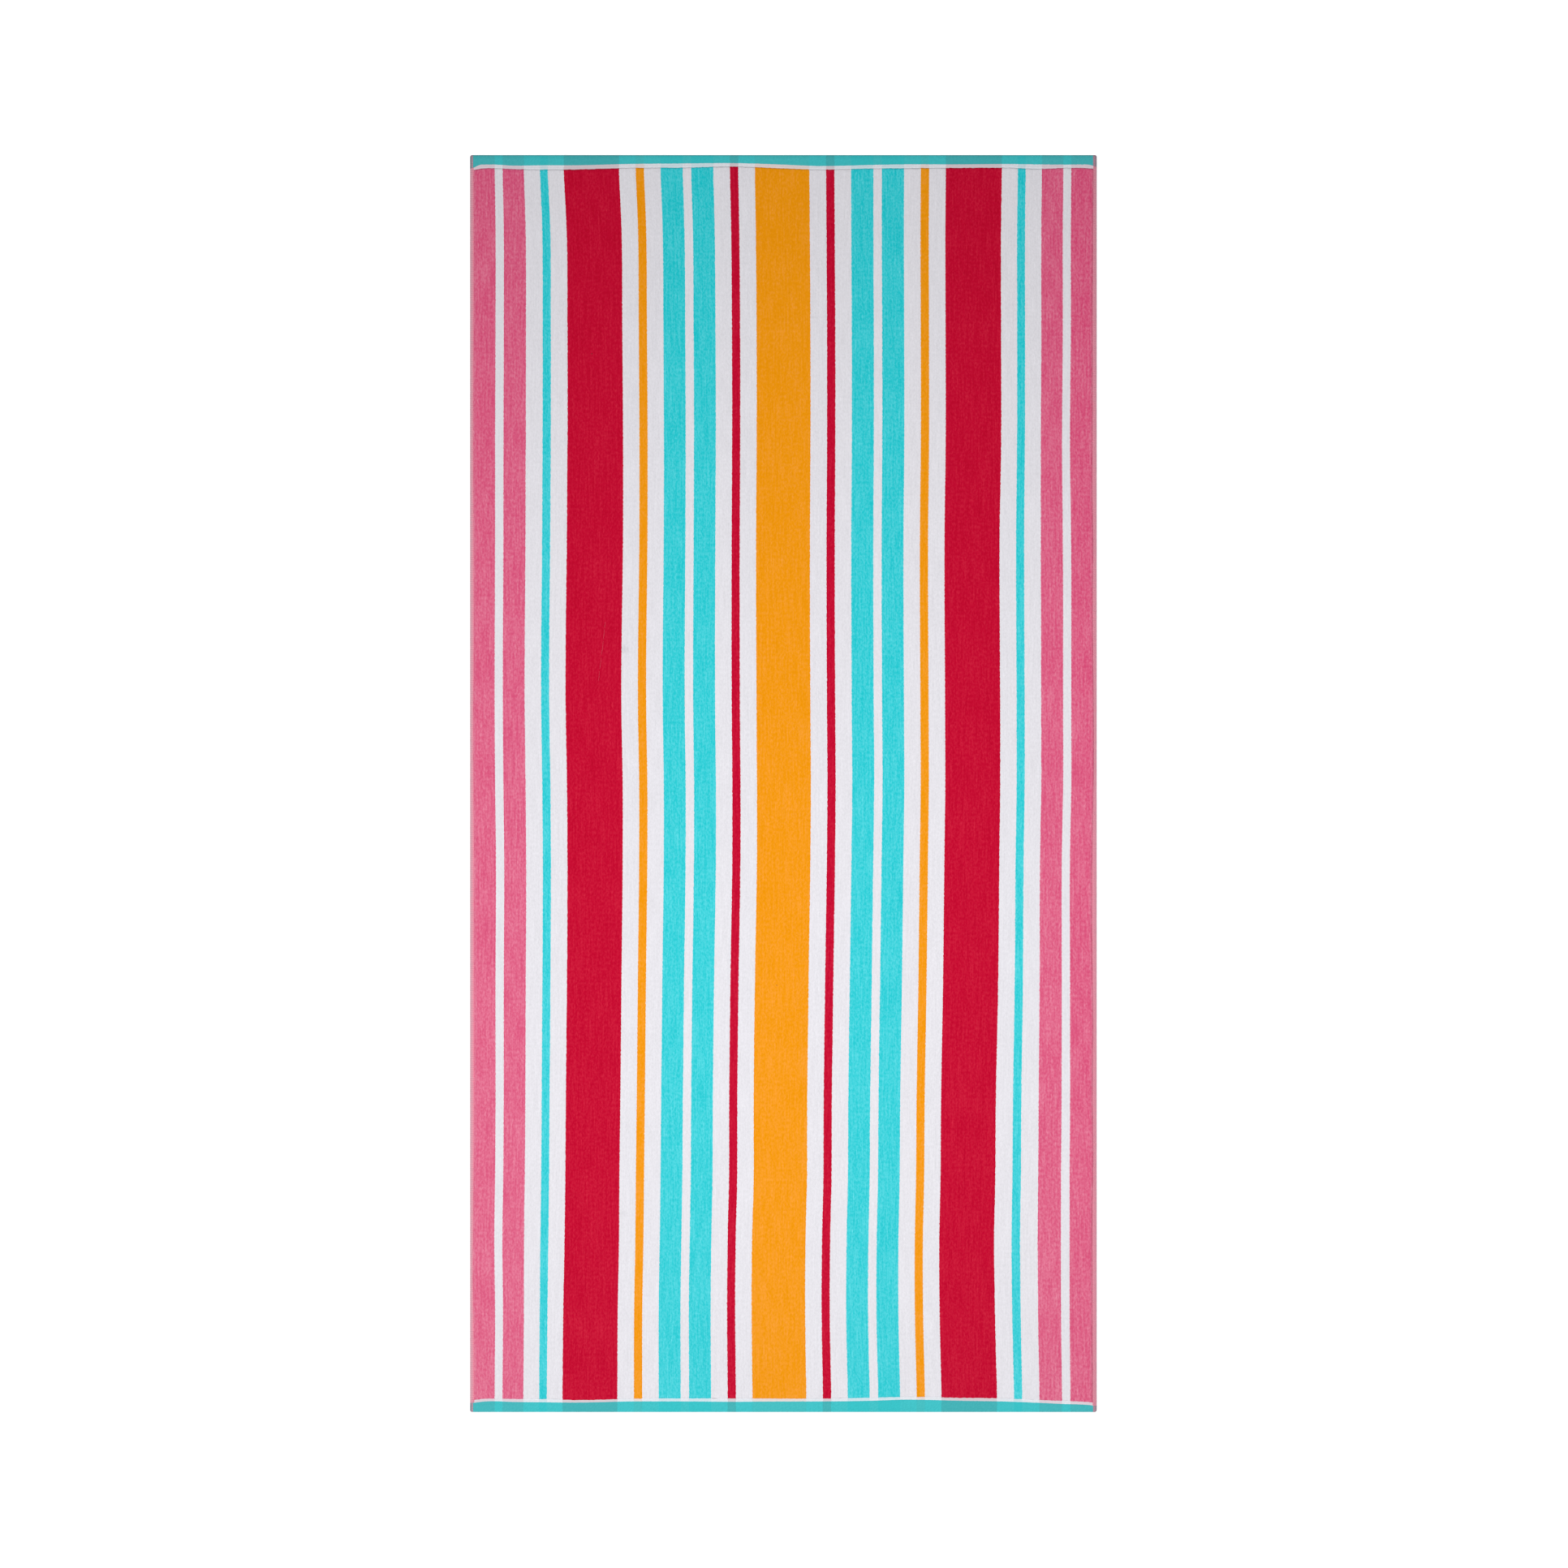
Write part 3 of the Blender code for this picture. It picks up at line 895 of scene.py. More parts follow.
def sew_side(name, sign, pitch, seam_line):
    cloth = Cloth()
    reach = HALF_LENGTH - SEAM_END
    count = int(2 * reach / pitch)
    first_hole = math.ceil(-reach / pitch)
    share = np.linspace(0, 1, STITCH_POINTS)
    for number in range(first_hole, first_hole + count):
        y = (number + STITCH_START + STITCH_SHARE * share) * pitch
        line = seam_line + SEAM_STRAY * soft_noise(y, y * 0, pitch, 1, 41)
        x = sign * (HALF_WIDTH - line) + STITCH_LEAN * (share - 0.5)
        z = HEM_HEIGHT + STITCH_RISE * np.sin(math.pi * share) - STITCH_SINK
        radii = THREAD_RADIUS * (THREAD_THIN + (1 - THREAD_THIN) * np.sin(math.pi * share))
        tube(cloth, np.stack([x, y, z], axis=1), radii)
    return cloth.make(name)


stitches = [
    sew_side("hem_stitches_left", -1, STITCH_LEFT, 3.3 * MM),
    sew_side("hem_stitches_right", 1, STITCH_RIGHT, 2.9 * MM),
]
for seam in stitches:
    print(seam.name, triangle_count(seam), "triangles")

# %% [markdown]
# ## Loose fibres and specks
# The photo shows a long, lighter fibre lying on the left red stripe, a short one on the pink,
# and two dark specks, which are bits of seed that cotton often keeps. They are small, but they
# are the kind of thing that the eye takes for real.

# %% Drop the fibres and specks
FIBRE_RADIUS = 0.15 * MM
FIBRE_LIFT = 0.06 * MM
FIBRE_TAPER = 1.6
SPECK_LIFT = 0.10 * MM
SPECK_FATNESS = 0.42
SPECK_TAPER = 3.9
SPECK_TIP = 0.02
Fibre = namedtuple("Fibre", "x y length lean bend")
FIBRES = (
    Fibre(-216.7, 192.6, 7.0, -0.5, 0.1),
    Fibre(-217.9, 181.0, 12.0, -1.4, 0.2),
    Fibre(-219.6, 164.5, 17.0, -2.2, 0.3),
    Fibre(-221.9, 146.0, 14.0, -1.8, 0.1),
    Fibre(-223.8, 130.5, 12.0, -1.2, 0.2),
    Fibre(-323.3, 165.0, 10.0, 0.8, 0.3),
)
Speck = namedtuple("Speck", "x y size turn")
SPECKS = (
    Speck(-232.7, 521.6, 1.3, 0.4),
    Speck(-8.1, -244.8, 1.1, 1.7),
)


def surface_height(x, y):
    """The pile's height at a place on the floor, away from its edges."""
    return pile_height(np.asarray(x), np.asarray(y), np.full(np.shape(x), 0.1))


def make_fibres():
    cloth = Cloth()
    for fibre in FIBRES:
        t = np.linspace(-0.5, 0.5, max(5, int(fibre.length / 4)))
        y = (fibre.y + fibre.length * t) * MM
        x = (fibre.x - fibre.lean * t + fibre.bend * np.cos(2 * math.pi * t)) * MM
        z = surface_height(x, y) + FIBRE_LIFT
        radii = FIBRE_RADIUS * (1 - FIBRE_TAPER * t * t)
        tube(cloth, np.stack([x, y, z], axis=1), radii)
    return cloth.make("loose_fibres")


def make_specks():
    cloth = Cloth()
    for speck in SPECKS:
        t = np.linspace(-0.5, 0.5, 5)
        x = (speck.x + speck.size * t * math.cos(speck.turn)) * MM
        y = (speck.y + speck.size * t * math.sin(speck.turn)) * MM
        z = surface_height(x, y) + SPECK_LIFT
        roundness = np.sqrt(np.clip(1 - SPECK_TAPER * t * t, SPECK_TIP, 1))
        radii = SPECK_FATNESS * speck.size * MM * roundness
        tube(cloth, np.stack([x, y, z], axis=1), radii)
    return cloth.make("cotton_specks")


loose_fibres = make_fibres()
cotton_specks = make_specks()
print("fibres:", triangle_count(loose_fibres), "specks:", triangle_count(cotton_specks))

# %% [markdown]
# ## Woven coordinates for the finishes
# Every finish on this towel follows the yarns, so each vertex keeps where it was on the loom:
# its warp place u, its place along the towel, and how far it is past the woven line where the
# weft changes colour. A second set of values, "rim", serves the side hems: how far in from the
# edge the place is, how wide the pale strip is there, and the turns of the stitching. Attributes
# like these travel with the mesh, and any material can read them.

# %% Store the woven coordinates
STRIP_EXTRA = 0.2 * MM


def store(piece, name, kind, values):
    """Keeps one value or vector for every vertex of a piece."""
    attribute = piece.data.attributes.new(name, kind, "POINT")
    field = "vector" if kind == "FLOAT_VECTOR" else "value"
    attribute.data.foreach_set(field, values.astype(np.float32).ravel())


def store_woven(piece):
    points = mesh_points(piece)
    x = points[:, 0]
    y = points[:, 1]
    u = loom_place(x, y)
    sign = np.where(y > 0, 1, -1)
    in_from_end = HALF_LENGTH - np.abs(y)
    past_line = in_from_end - end_inset(x, sign, "line")
    white_line = end_inset(x, sign, "pile") - end_inset(x, sign, "line")
    store(piece, "woven", "FLOAT_VECTOR", np.stack([u, y, past_line / white_line], axis=1))
    underside = points[:, 2] < 0.4 * HEM_HEIGHT
    at_ends = np.where(x < 0, STRIP_AT_LEFT_ENDS, STRIP_AT_RIGHT_ENDS)
    strip = np.where(past_line < 0, at_ends, side_inset(y, np.sign(x)) + STRIP_EXTRA)
    strip = np.where(underside, SIDE_FLAP + FLAP_GAP, strip)
    rim = [(HALF_WIDTH - np.abs(x)) / MM, strip / MM, stitch_turns(x, y)]
    store(piece, "rim", "FLOAT_VECTOR", np.stack(rim, axis=1))
    store(piece, "pull", "FLOAT", pull(x, y) * ~underside)


for piece in [flat_cloth, terry_back, *pile_panels]:
    store_woven(piece)
print("woven coordinates stored on", 2 + len(pile_panels), "pieces")

# %% [markdown]
# ## Shader helpers
# Node trees are easier to read when a node is made, set and wired in one line.

# %% Write small helpers for node trees
def feed(tree, socket, value):
    """Gives a socket a value, or a link if the value is another socket."""
    if isinstance(value, bpy.types.NodeSocket):
        tree.links.new(value, socket)
    else:
        socket.default_value = value


def node(tree, kind, inputs=None, **settings):
    made = tree.nodes.new("ShaderNode" + kind)
    for name, value in settings.items():
        setattr(made, name, value)
    for name, value in (inputs or {}).items():
        feed(tree, made.inputs[name], value)
    return made


def maths(tree, operation, first, second=0.0, third=0.0):
    inputs = {0: first, 1: second, 2: third}
    return node(tree, "Math", inputs, operation=operation).outputs[0]


def plus(tree, first, second):
    return maths(tree, "ADD", first, second)


def minus(tree, first, second):
    return maths(tree, "SUBTRACT", first, second)


def times(tree, first, second):
    return maths(tree, "MULTIPLY", first, second)


def times_plus(tree, first, second, third):
    return maths(tree, "MULTIPLY_ADD", first, second, third)


print("node helpers: feed, node, maths, plus, minus, times, times_plus")

# %% Write helpers for colours, places and noise
SPREAD_GAIN = 7.0


def mix_colour(tree, share, first, second):
    inputs = {0: share, 6: first, 7: second}
    settings = {"data_type": "RGBA", "clamp_factor": False}
    return node(tree, "Mix", inputs, **settings).outputs[2]


def shaded(tree, colour, shade):
    inputs = {0: colour, 3: shade}
    return node(tree, "VectorMath", inputs, operation="SCALE").outputs[0]


def parts_of(tree, vector):
    return node(tree, "SeparateXYZ", {0: vector}).outputs


def remap(tree, value, low, high, to_low=0.0, to_high=1.0):
    inputs = {0: value, 1: low, 2: high, 3: to_low, 4: to_high}
    return node(tree, "MapRange", inputs).outputs[0]


def attribute(tree, name):
    return node(tree, "Attribute", attribute_name=name)


def stretched(tree, vector, across, along):
    """Flat coordinates in which a fleck of the given size, in millimetres, is one unit."""
    scale = (1 / (across * MM), 1 / (along * MM), 0.0)
    return node(tree, "Mapping", {0: vector, 3: scale}).outputs[0]


def noise(tree, vector, detail):
    """Soft noise from 0 to 1, with cells one unit wide."""
    return node(tree, "TexNoise", {0: vector, "Scale": 1.0, "Detail": detail}).outputs["Fac"]


def spread(tree, vector, detail):
    """The same noise, centred on zero and mostly between -1 and 1."""
    return times(tree, minus(tree, noise(tree, vector, detail), 0.5), SPREAD_GAIN)


print("noise is spread", SPREAD_GAIN, "times")

# %% Write helpers for colours and groups
def linear(colour):
    """An sRGB colour, written as 0 to 255, as the linear one that a shader takes."""
    share = np.array(colour) / 255
    low = share / 12.92
    high = ((share + 0.055) / 1.055) ** 2.4
    return (*np.where(share <= 0.04045, low, high).tolist(), 1.0)


def new_group(name, inputs, outputs):
    """A node group with named sockets: pairs of a name and a kind, with a default for inputs."""
    group = bpy.data.node_groups.new(name, "ShaderNodeTree")
    for label, kind, value in inputs:
        socket = group.interface.new_socket(label, in_out="INPUT", socket_type="NodeSocket" + kind)
        socket.default_value = value
    for label, kind in outputs:
        group.interface.new_socket(label, in_out="OUTPUT", socket_type="NodeSocket" + kind)
    start = group.nodes.new("NodeGroupInput")
    finish = group.nodes.new("NodeGroupOutput")
    return group, start.outputs, finish.inputs


def place_group(tree, group, inputs=None):
    made = tree.nodes.new("ShaderNodeGroup")
    made.node_tree = group
    for name, value in (inputs or {}).items():
        feed(tree, made.inputs[name], value)
    return made.outputs


print(f"mid grey, 128, is {linear((128, 128, 128))[0]:.3f} in linear light")

# %% [markdown]
# ## The dyed warp as a node group
# Three finishes need to know which yarn lies at a place: the pile, the back and the flat weave.
# The group takes the warp place, mirrors it, lets it fray a little with noise, and counts how
# many stripe edges it has passed. That count picks the yarn from a ramp without blending. A
# second ramp holds three traits of each yarn: how deep its flecks are, how much paler its flecks
# are painted as highlights of the tuft tips, and how dark a weft looks where it covers that yarn.

# %% Build the warp group
Yarn = namedtuple("Yarn", "colour depth whitening under_weft")
YARNS = {
    "white": Yarn((232, 230, 236), 0.032, 0.0, 1.0),
    "orange": Yarn((246, 155, 23), 0.026, 0.016, 0.97),
    "red": Yarn((200, 8, 50), 0.052, 0.0055, 0.87),
    "turquoise": Yarn((62, 210, 219), 0.050, 0.032, 1.0),
    "pink": Yarn((226, 104, 139), 0.036, 0.058, 0.91),
}


def yarn_colour(name):
    return linear(YARNS[name].colour)


def set_steps(ramp, colours):
    """Fills a colour ramp with equal hard steps."""
    ramp.interpolation = "CONSTANT"
    ramp.elements[0].color = colours[0]
    ramp.elements.remove(ramp.elements[1])
    for number, colour in enumerate(colours[1:], start=1):
        ramp.elements.new(number / len(colours)).color = colour


def build_warp_group():
    group, start, finish = new_group(
        "Dyed warp",
        [("Woven", "Vector", (0.0, 0.0, 0.0)), ("Fray", "Float", 0.3)],
        [("Yarn", "Color"), ("Depth", "Float"), ("Whitening", "Float"), ("Under weft", "Float")],
    )
    place = parts_of(group, start["Woven"])[0]
    stray = spread(group, stretched(group, start["Woven"], 2.0, 2.6), 2.0)
    stray = times(group, stray, times(group, start["Fray"], MM))
    place = maths(group, "ABSOLUTE", plus(group, place, stray))
    edge = 0.0
    passed = 0.5
    for stripe in STRIPES[:-1]:
        edge += stripe.width * MM
        passed = plus(group, passed, maths(group, "GREATER_THAN", place, edge))
    number = maths(group, "DIVIDE", passed, len(STRIPES))
    yarns = node(group, "ValToRGB", {0: number})
    set_steps(yarns.color_ramp, [yarn_colour(stripe.yarn) for stripe in STRIPES])
    traits = node(group, "ValToRGB", {0: number})
    set_steps(traits.color_ramp, [(*YARNS[stripe.yarn][1:], 1.0) for stripe in STRIPES])
    parts = node(group, "SeparateColor", {0: traits.outputs[0]}).outputs
    feed(group, finish["Yarn"], yarns.outputs[0])
    for name, part in zip(("Depth", "Whitening", "Under weft"), parts):
        feed(group, finish[name], part)
    return group


WARP_GROUP = build_warp_group()
print("warp group with", len(STRIPES), "stripes")

# %% [markdown]
# ## Flecks, lay and weave as node groups
# Cotton pile is never one flat tone. Tips of tufts catch the light as short flecks along the
# warp, and patches of pile lean together and look a shade lighter or darker. The flat weave has
# fine crossings and a slanting twill instead, and a grey spot is soft and darker. Each of these is
# a group, so that every material uses it with its own values.

# %% Build the fleck group
# Size of one fleck across and along the towel in millimetres, and the detail of its noise
Fleck = namedtuple("Fleck", "across along detail")
TUFTS = Fleck(2.1, 3.6, 2.0)
STREAKS = Fleck(2.2, 40.0, 1.0)
PATCHES = Fleck(34, 58, 3.0)
TIPS = Fleck(0.7, 1.7, 3.0)
SLIVERS = Fleck(0.9, 11.0, 1.0)
TIP_WEIGHT = 0.4
TIP_HEIGHT = 0.5
SLIVER_START = 1.1
SLIVER_WEIGHT = 3.0


def flecks(tree, woven, fleck):
    return spread(tree, stretched(tree, woven, fleck.across, fleck.along), fleck.detail)


def build_fleck_group():
    group, start, finish = new_group(
        "Tuft flecks",
        [("Woven", "Vector", (0.0, 0.0, 0.0)), ("Streak", "Float", 0.5), ("Lay", "Float", 0.5)],
        [("Tone", "Float"), ("Height", "Float")],
    )
    woven = start["Woven"]
    tufts = flecks(group, woven, TUFTS)
    streaks = flecks(group, woven, STREAKS)
    patches = flecks(group, woven, PATCHES)
    tips = flecks(group, woven, TIPS)
    slivers = flecks(group, woven, SLIVERS)
    slivers = maths(group, "MAXIMUM", minus(group, slivers, SLIVER_START), 0.0)
    tone = times_plus(group, streaks, start["Streak"], tufts)
    tone = times_plus(group, patches, start["Lay"], tone)
    tone = times_plus(group, tips, TIP_WEIGHT, tone)
    tone = times_plus(group, slivers, SLIVER_WEIGHT, tone)
    feed(group, finish["Tone"], tone)
    feed(group, finish["Height"], times_plus(group, tips, TIP_HEIGHT, tufts))
    return group


FLECK_GROUP = build_fleck_group()
print("fleck group with", len(FLECK_GROUP.nodes), "nodes")

# %% Build the weave group
CROSSINGS = (0.60, 0.52)
CROSSING_SHADE = 0.035
CROSSING_HEIGHT = 1.5
PICKS = Fleck(1.8, 1.2, 2.0)
TWILL = Fleck(1.5, 3.6, 1.0)
TWILL_TURN = (0.0, 0.0, 0.7)
PICK_WEIGHT = 0.7
SPECKLE_SHARE = 0.14
SPECKLE_SHADE = 0.028


def build_weave_group():
    group, start, finish = new_group(
        "Flat weave",
        [
            ("Woven", "Vector", (0.0, 0.0, 0.0)),
            ("Warp colour", "Color", (1.0, 1.0, 1.0, 1.0)),
            ("Weft colour", "Color", (1.0, 1.0, 1.0, 1.0)),
            ("Warp share", "Float", 0.1),
            ("Shade", "Float", 1.0),
        ],
        [("Colour", "Color"), ("Height", "Float")],
    )
    yarns = parts_of(group, stretched(group, start["Woven"], *CROSSINGS))
    ends = maths(group, "SINE", times(group, yarns[0], 2 * math.pi))
    rows = maths(group, "SINE", times(group, yarns[1], 2 * math.pi))
    crossings = times(group, ends, rows)
    picks = flecks(group, start["Woven"], PICKS)
    turned = node(group, "Mapping", {0: start["Woven"], 2: TWILL_TURN}).outputs[0]
    twill = flecks(group, turned, TWILL)
    speckle = times_plus(group, picks, PICK_WEIGHT, twill)
    rest = minus(group, 1.0, start["Warp share"])
    change = times_plus(group, times(group, speckle, rest), SPECKLE_SHARE, 1.0)
    share = times(group, start["Warp share"], change)
    colour = mix_colour(group, share, start["Weft colour"], start["Warp colour"])
    shade = times_plus(group, speckle, SPECKLE_SHADE, 1.0)
    shade = times_plus(group, crossings, CROSSING_SHADE, shade)
    shade = times(group, shade, start["Shade"])
    colour = shaded(group, colour, shade)
    feed(group, finish["Colour"], colour)
    feed(group, finish["Height"], times_plus(group, crossings, CROSSING_HEIGHT, speckle))
    return group


WEAVE_GROUP = build_weave_group()
print("weave group with", len(WEAVE_GROUP.nodes), "nodes")

# %% Build the grey spot group
GREY_SPOT_CELL_MM = 6
GREY_SPOT_OUTER = 1.5
GREY_SPOT_INNER = 0.7


def build_grey_spot_group():
    group, start, finish = new_group(
        "GreySpot",
        [
            ("Woven", "Vector", (0.0, 0.0, 0.0)),
            ("Centre", "Vector", (0.0, 0.0, 0.0)),
            ("Half size", "Vector", (0.01, 0.01, 1.0)),
            ("Strength", "Float", 0.05),
        ],
        [("Shade", "Float")],
    )
    away = start["Woven"]
    for operation, by in (("SUBTRACT", "Centre"), ("DIVIDE", "Half size")):
        inputs = {0: away, 1: start[by]}
        away = node(group, "VectorMath", inputs, operation=operation).outputs[0]
    parts = parts_of(group, away)
    flat = node(group, "CombineXYZ", {0: parts[0], 1: parts[1]}).outputs[0]
    reach = node(group, "VectorMath", {0: flat}, operation="LENGTH").outputs["Value"]
    cells = stretched(group, start["Woven"], GREY_SPOT_CELL_MM, GREY_SPOT_CELL_MM)
    reach = plus(group, reach, noise(group, cells, 2.0))
    inputs = {0: reach, 1: GREY_SPOT_OUTER, 2: GREY_SPOT_INNER}
    mask = node(group, "MapRange", inputs, interpolation_type="SMOOTHSTEP")
    shade = times(group, mask.outputs[0], start["Strength"])
    feed(group, finish["Shade"], minus(group, 1.0, shade))
    return group


GREY_SPOT_GROUP = build_grey_spot_group()
print("groups:", [group.name for group in bpy.data.node_groups])

# %% [markdown]
# ## The velour
# Base colour is the yarn, made paler towards white in its flecks as painted highlights of the tuft
# tips, and a little brighter or darker everywhere by the tone. Velour is matt, with a soft sheen
# where it is seen at a slant, which the shader's own sheen gives. The faint grey spots are placed
# where the photo has them.

# %% Mix the yarn with its flecks
def new_material(name, roughness, sheen):
    """A matt cotton shader, its node tree and its shader node."""
    material = bpy.data.materials.new(name)
    material.use_nodes = True
    shader = material.node_tree.nodes["Principled BSDF"]
    shader.inputs["Roughness"].default_value = roughness
    shader.inputs["Specular IOR Level"].default_value = 0.10
    shader.inputs["Sheen Weight"].default_value = sheen
    shader.inputs["Sheen Roughness"].default_value = 0.5
    return material, material.node_tree, shader


def bump(tree, height, distance):
    inputs = {"Height": height, "Distance": distance, "Strength": 1.0}
    return node(tree, "Bump", inputs).outputs[0]


# Painted light falloff on the pile: how much paler it is painted at the near end, and less pale on
# the right.
END_PAINTED_FALLOFF = 0.35
RIGHT_PAINTED_FALLOFF = 0.3


def painted_light_falloff(tree, woven):
    """Painted light, matched to the photo's tones: paler at the near end, less pale at the far end
    and right.
    """
    across, along, _ = parts_of(tree, woven)
    lean = remap(tree, along, -0.7, 0.7, END_PAINTED_FALLOFF, -END_PAINTED_FALLOFF)
    return minus(tree, lean, remap(tree, across, 0.30, 0.37, 0.0, RIGHT_PAINTED_FALLOFF))


def near_hem(tree, reach_mm):
    """1 where the pile meets a side hem, falling to 0 at the given reach."""
    distance, width, _ = parts_of(tree, attribute(tree, "rim").outputs["Vector"])
    beyond = minus(tree, distance, width)
    return remap(tree, beyond, 0.0, reach_mm, 1.0, 0.0)


LOWEST_TONE = -1.2


def yarn_with_flecks(tree, woven, fray, streak, lay):
    """The yarn's colour whitened in its flecks as painted highlights, how light each place is, and
    the tufts' height.
    """
    warp = place_group(tree, WARP_GROUP, {"Woven": woven, "Fray": fray})
    inputs = {"Woven": woven, "Streak": streak, "Lay": lay}
    fleck = place_group(tree, FLECK_GROUP, inputs)
    tone = maths(tree, "MAXIMUM", fleck["Tone"], LOWEST_TONE)
    paler = plus(tree, tone, painted_light_falloff(tree, woven))
    # Painted highlights of the tuft tips, with the painted light falloff, whiten the yarn here.
    whitened = times(tree, paler, warp["Whitening"])
    colour = mix_colour(tree, whitened, warp["Yarn"], yarn_colour("white"))
    shade = times_plus(tree, fleck["Tone"], warp["Depth"], 1.0)
    return colour, shade, fleck["Height"]


# The falloff is painted light: the pile is painted paler where the lamps light it more.
print("the pile's lean changes its paleness by", END_PAINTED_FALLOFF)

# %% Make the velour material
# Next to each side hem the pile is painted paler, blending towards the strip, and darker: painted
# shade at the pile's shoulder.
PALE_AT_HEM = 0.07
PAINTED_SHADE_AT_HEM = 0.92
HEM_REACH_MM = 4.0
GreySpot = namedtuple("GreySpot", "x y half_across half_along strength")
GREY_SPOTS = (
    GreySpot(-192.5, 163.0, 9.5, 8.5, 0.10),
    GreySpot(-193.0, -521.5, 8.0, 7.0, 0.06),
    GreySpot(37.0, 566.0, 8.0, 1.8, 0.08),
)


def make_velour():
    material, tree, shader = new_material("velour_pile", 0.92, 0.05)
    woven = attribute(tree, "woven").outputs["Vector"]
    colour, shade, height = yarn_with_flecks(tree, woven, fray=0.22, streak=0.6, lay=0.25)
    edge = near_hem(tree, HEM_REACH_MM)
    paler = times(tree, edge, PALE_AT_HEM)
    colour = mix_colour(tree, paler, colour, yarn_colour("white"))
    shade = times(tree, shade, remap(tree, edge, 0.0, 1.0, 1.0, PAINTED_SHADE_AT_HEM))
    for grey_spot in GREY_SPOTS:
        centre = (grey_spot.x * MM, grey_spot.y * MM, 0.0)
        half = (grey_spot.half_across * MM, grey_spot.half_along * MM, 1.0)
        inputs = {"Woven": woven, "Centre": centre, "Half size": half, "Strength": grey_spot.strength}
        dimmed = place_group(tree, GREY_SPOT_GROUP, inputs)["Shade"]
        shade = times(tree, shade, dimmed)
    colour = shaded(tree, colour, shade)
    feed(tree, shader.inputs["Base Color"], colour)
    feed(tree, shader.inputs["Roughness"], remap(tree, height, -1.5, 1.5, 0.97, 0.86))
    feed(tree, shader.inputs["Normal"], bump(tree, height, 0.03 * MM))
    return material


velour = make_velour()
print(velour.name, "has", len(velour.node_tree.nodes), "nodes")

# %% [markdown]
# ## The looped back
# The same yarns, but loops scatter light more evenly and sit in rows, so the flecks are softer
# and a grid of small bumps stands for the loops.

# %% Make the looped material
LOOP_SIZE = (1.5, 2.1)
SHADE_BETWEEN_LOOPS = 0.72


def make_terry():
    material, tree, shader = new_material("terry_loops", 0.95, 0.05)
    woven = attribute(tree, "woven").outputs["Vector"]
    colour, shade, height = yarn_with_flecks(tree, woven, fray=0.5, streak=0.2, lay=0.4)
    cells = stretched(tree, woven, *LOOP_SIZE)
    inputs = {0: cells, "Scale": 1.0, "Randomness": 0.45}
    loops = node(tree, "TexVoronoi", inputs, feature="SMOOTH_F1")
    dome = remap(tree, loops.outputs["Distance"], 0.7, 0.0)
    shade = times(tree, shade, remap(tree, dome, 0.0, 1.0, SHADE_BETWEEN_LOOPS, 1.0))
    colour = shaded(tree, colour, shade)
    feed(tree, shader.inputs["Base Color"], colour)
    feed(tree, shader.inputs["Roughness"], remap(tree, dome, 0.0, 1.0, 0.98, 0.9))
    height = times_plus(tree, height, 0.05, dome)
    feed(tree, shader.inputs["Normal"], bump(tree, height, 0.6 * MM))
    return material


terry = make_terry()
print(terry.name, "has", len(terry.node_tree.nodes), "nodes")

# %% [markdown]
# ## The flat weave of borders and hems
# In the borders the weft covers the warp almost wholly, so the band is turquoise and only a
# trace of each warp colour shines through, a little more of the dark ones. Then the weft turns
# white for a few millimetres, and the line in front of the pile appears. The side hems are woven
# the other way round: there the pink warp covers more than half, and the weft only tints it. One
# material holds all of this, because the woven coordinates say where each part begins.

# %% Make the flat-woven material
TURQUOISE_WEFT = linear((58, 199, 204))
WHITE_WEFT = linear((233, 237, 243))
STRIP_WARP = linear((224, 106, 136))
WARP_IN_TURQUOISE = 0.02
DARK_WARP_SHOWS = 0.25
WARP_IN_WHITE = 0.21
PAINTED_CORD_SHADING = 0.05
# Under the pile's edge the warp shows more, and the cloth is painted darker: painted shadow of the
# pile's shoulder.
UNDER_PILE_WARP_AND_PAINTED_SHADOW = (0.9, 0.75)
LINE_STRAY = 0.03
LINE_SOFTNESS = 0.04
STRIP_STRAY = 0.06
STRIP_SOFTNESS = 0.15
PILE_SOFTNESS = 0.05
HemLook = namedtuple("HemLook", "share share_gain shade shade_gain dents")
LEFT_HEM = HemLook(0.55, 0.068, 0.82, 0.060, 0.11)
RIGHT_HEM = HemLook(0.72, 0.025, 0.89, 0.034, 0.06)
STRIP_IN_BAND = (0.78, 0.88)


def pick(tree, mask, first, second):
    """The first value where the mask is 0, the second where it is 1."""
    return remap(tree, mask, 0.0, 1.0, first, second)


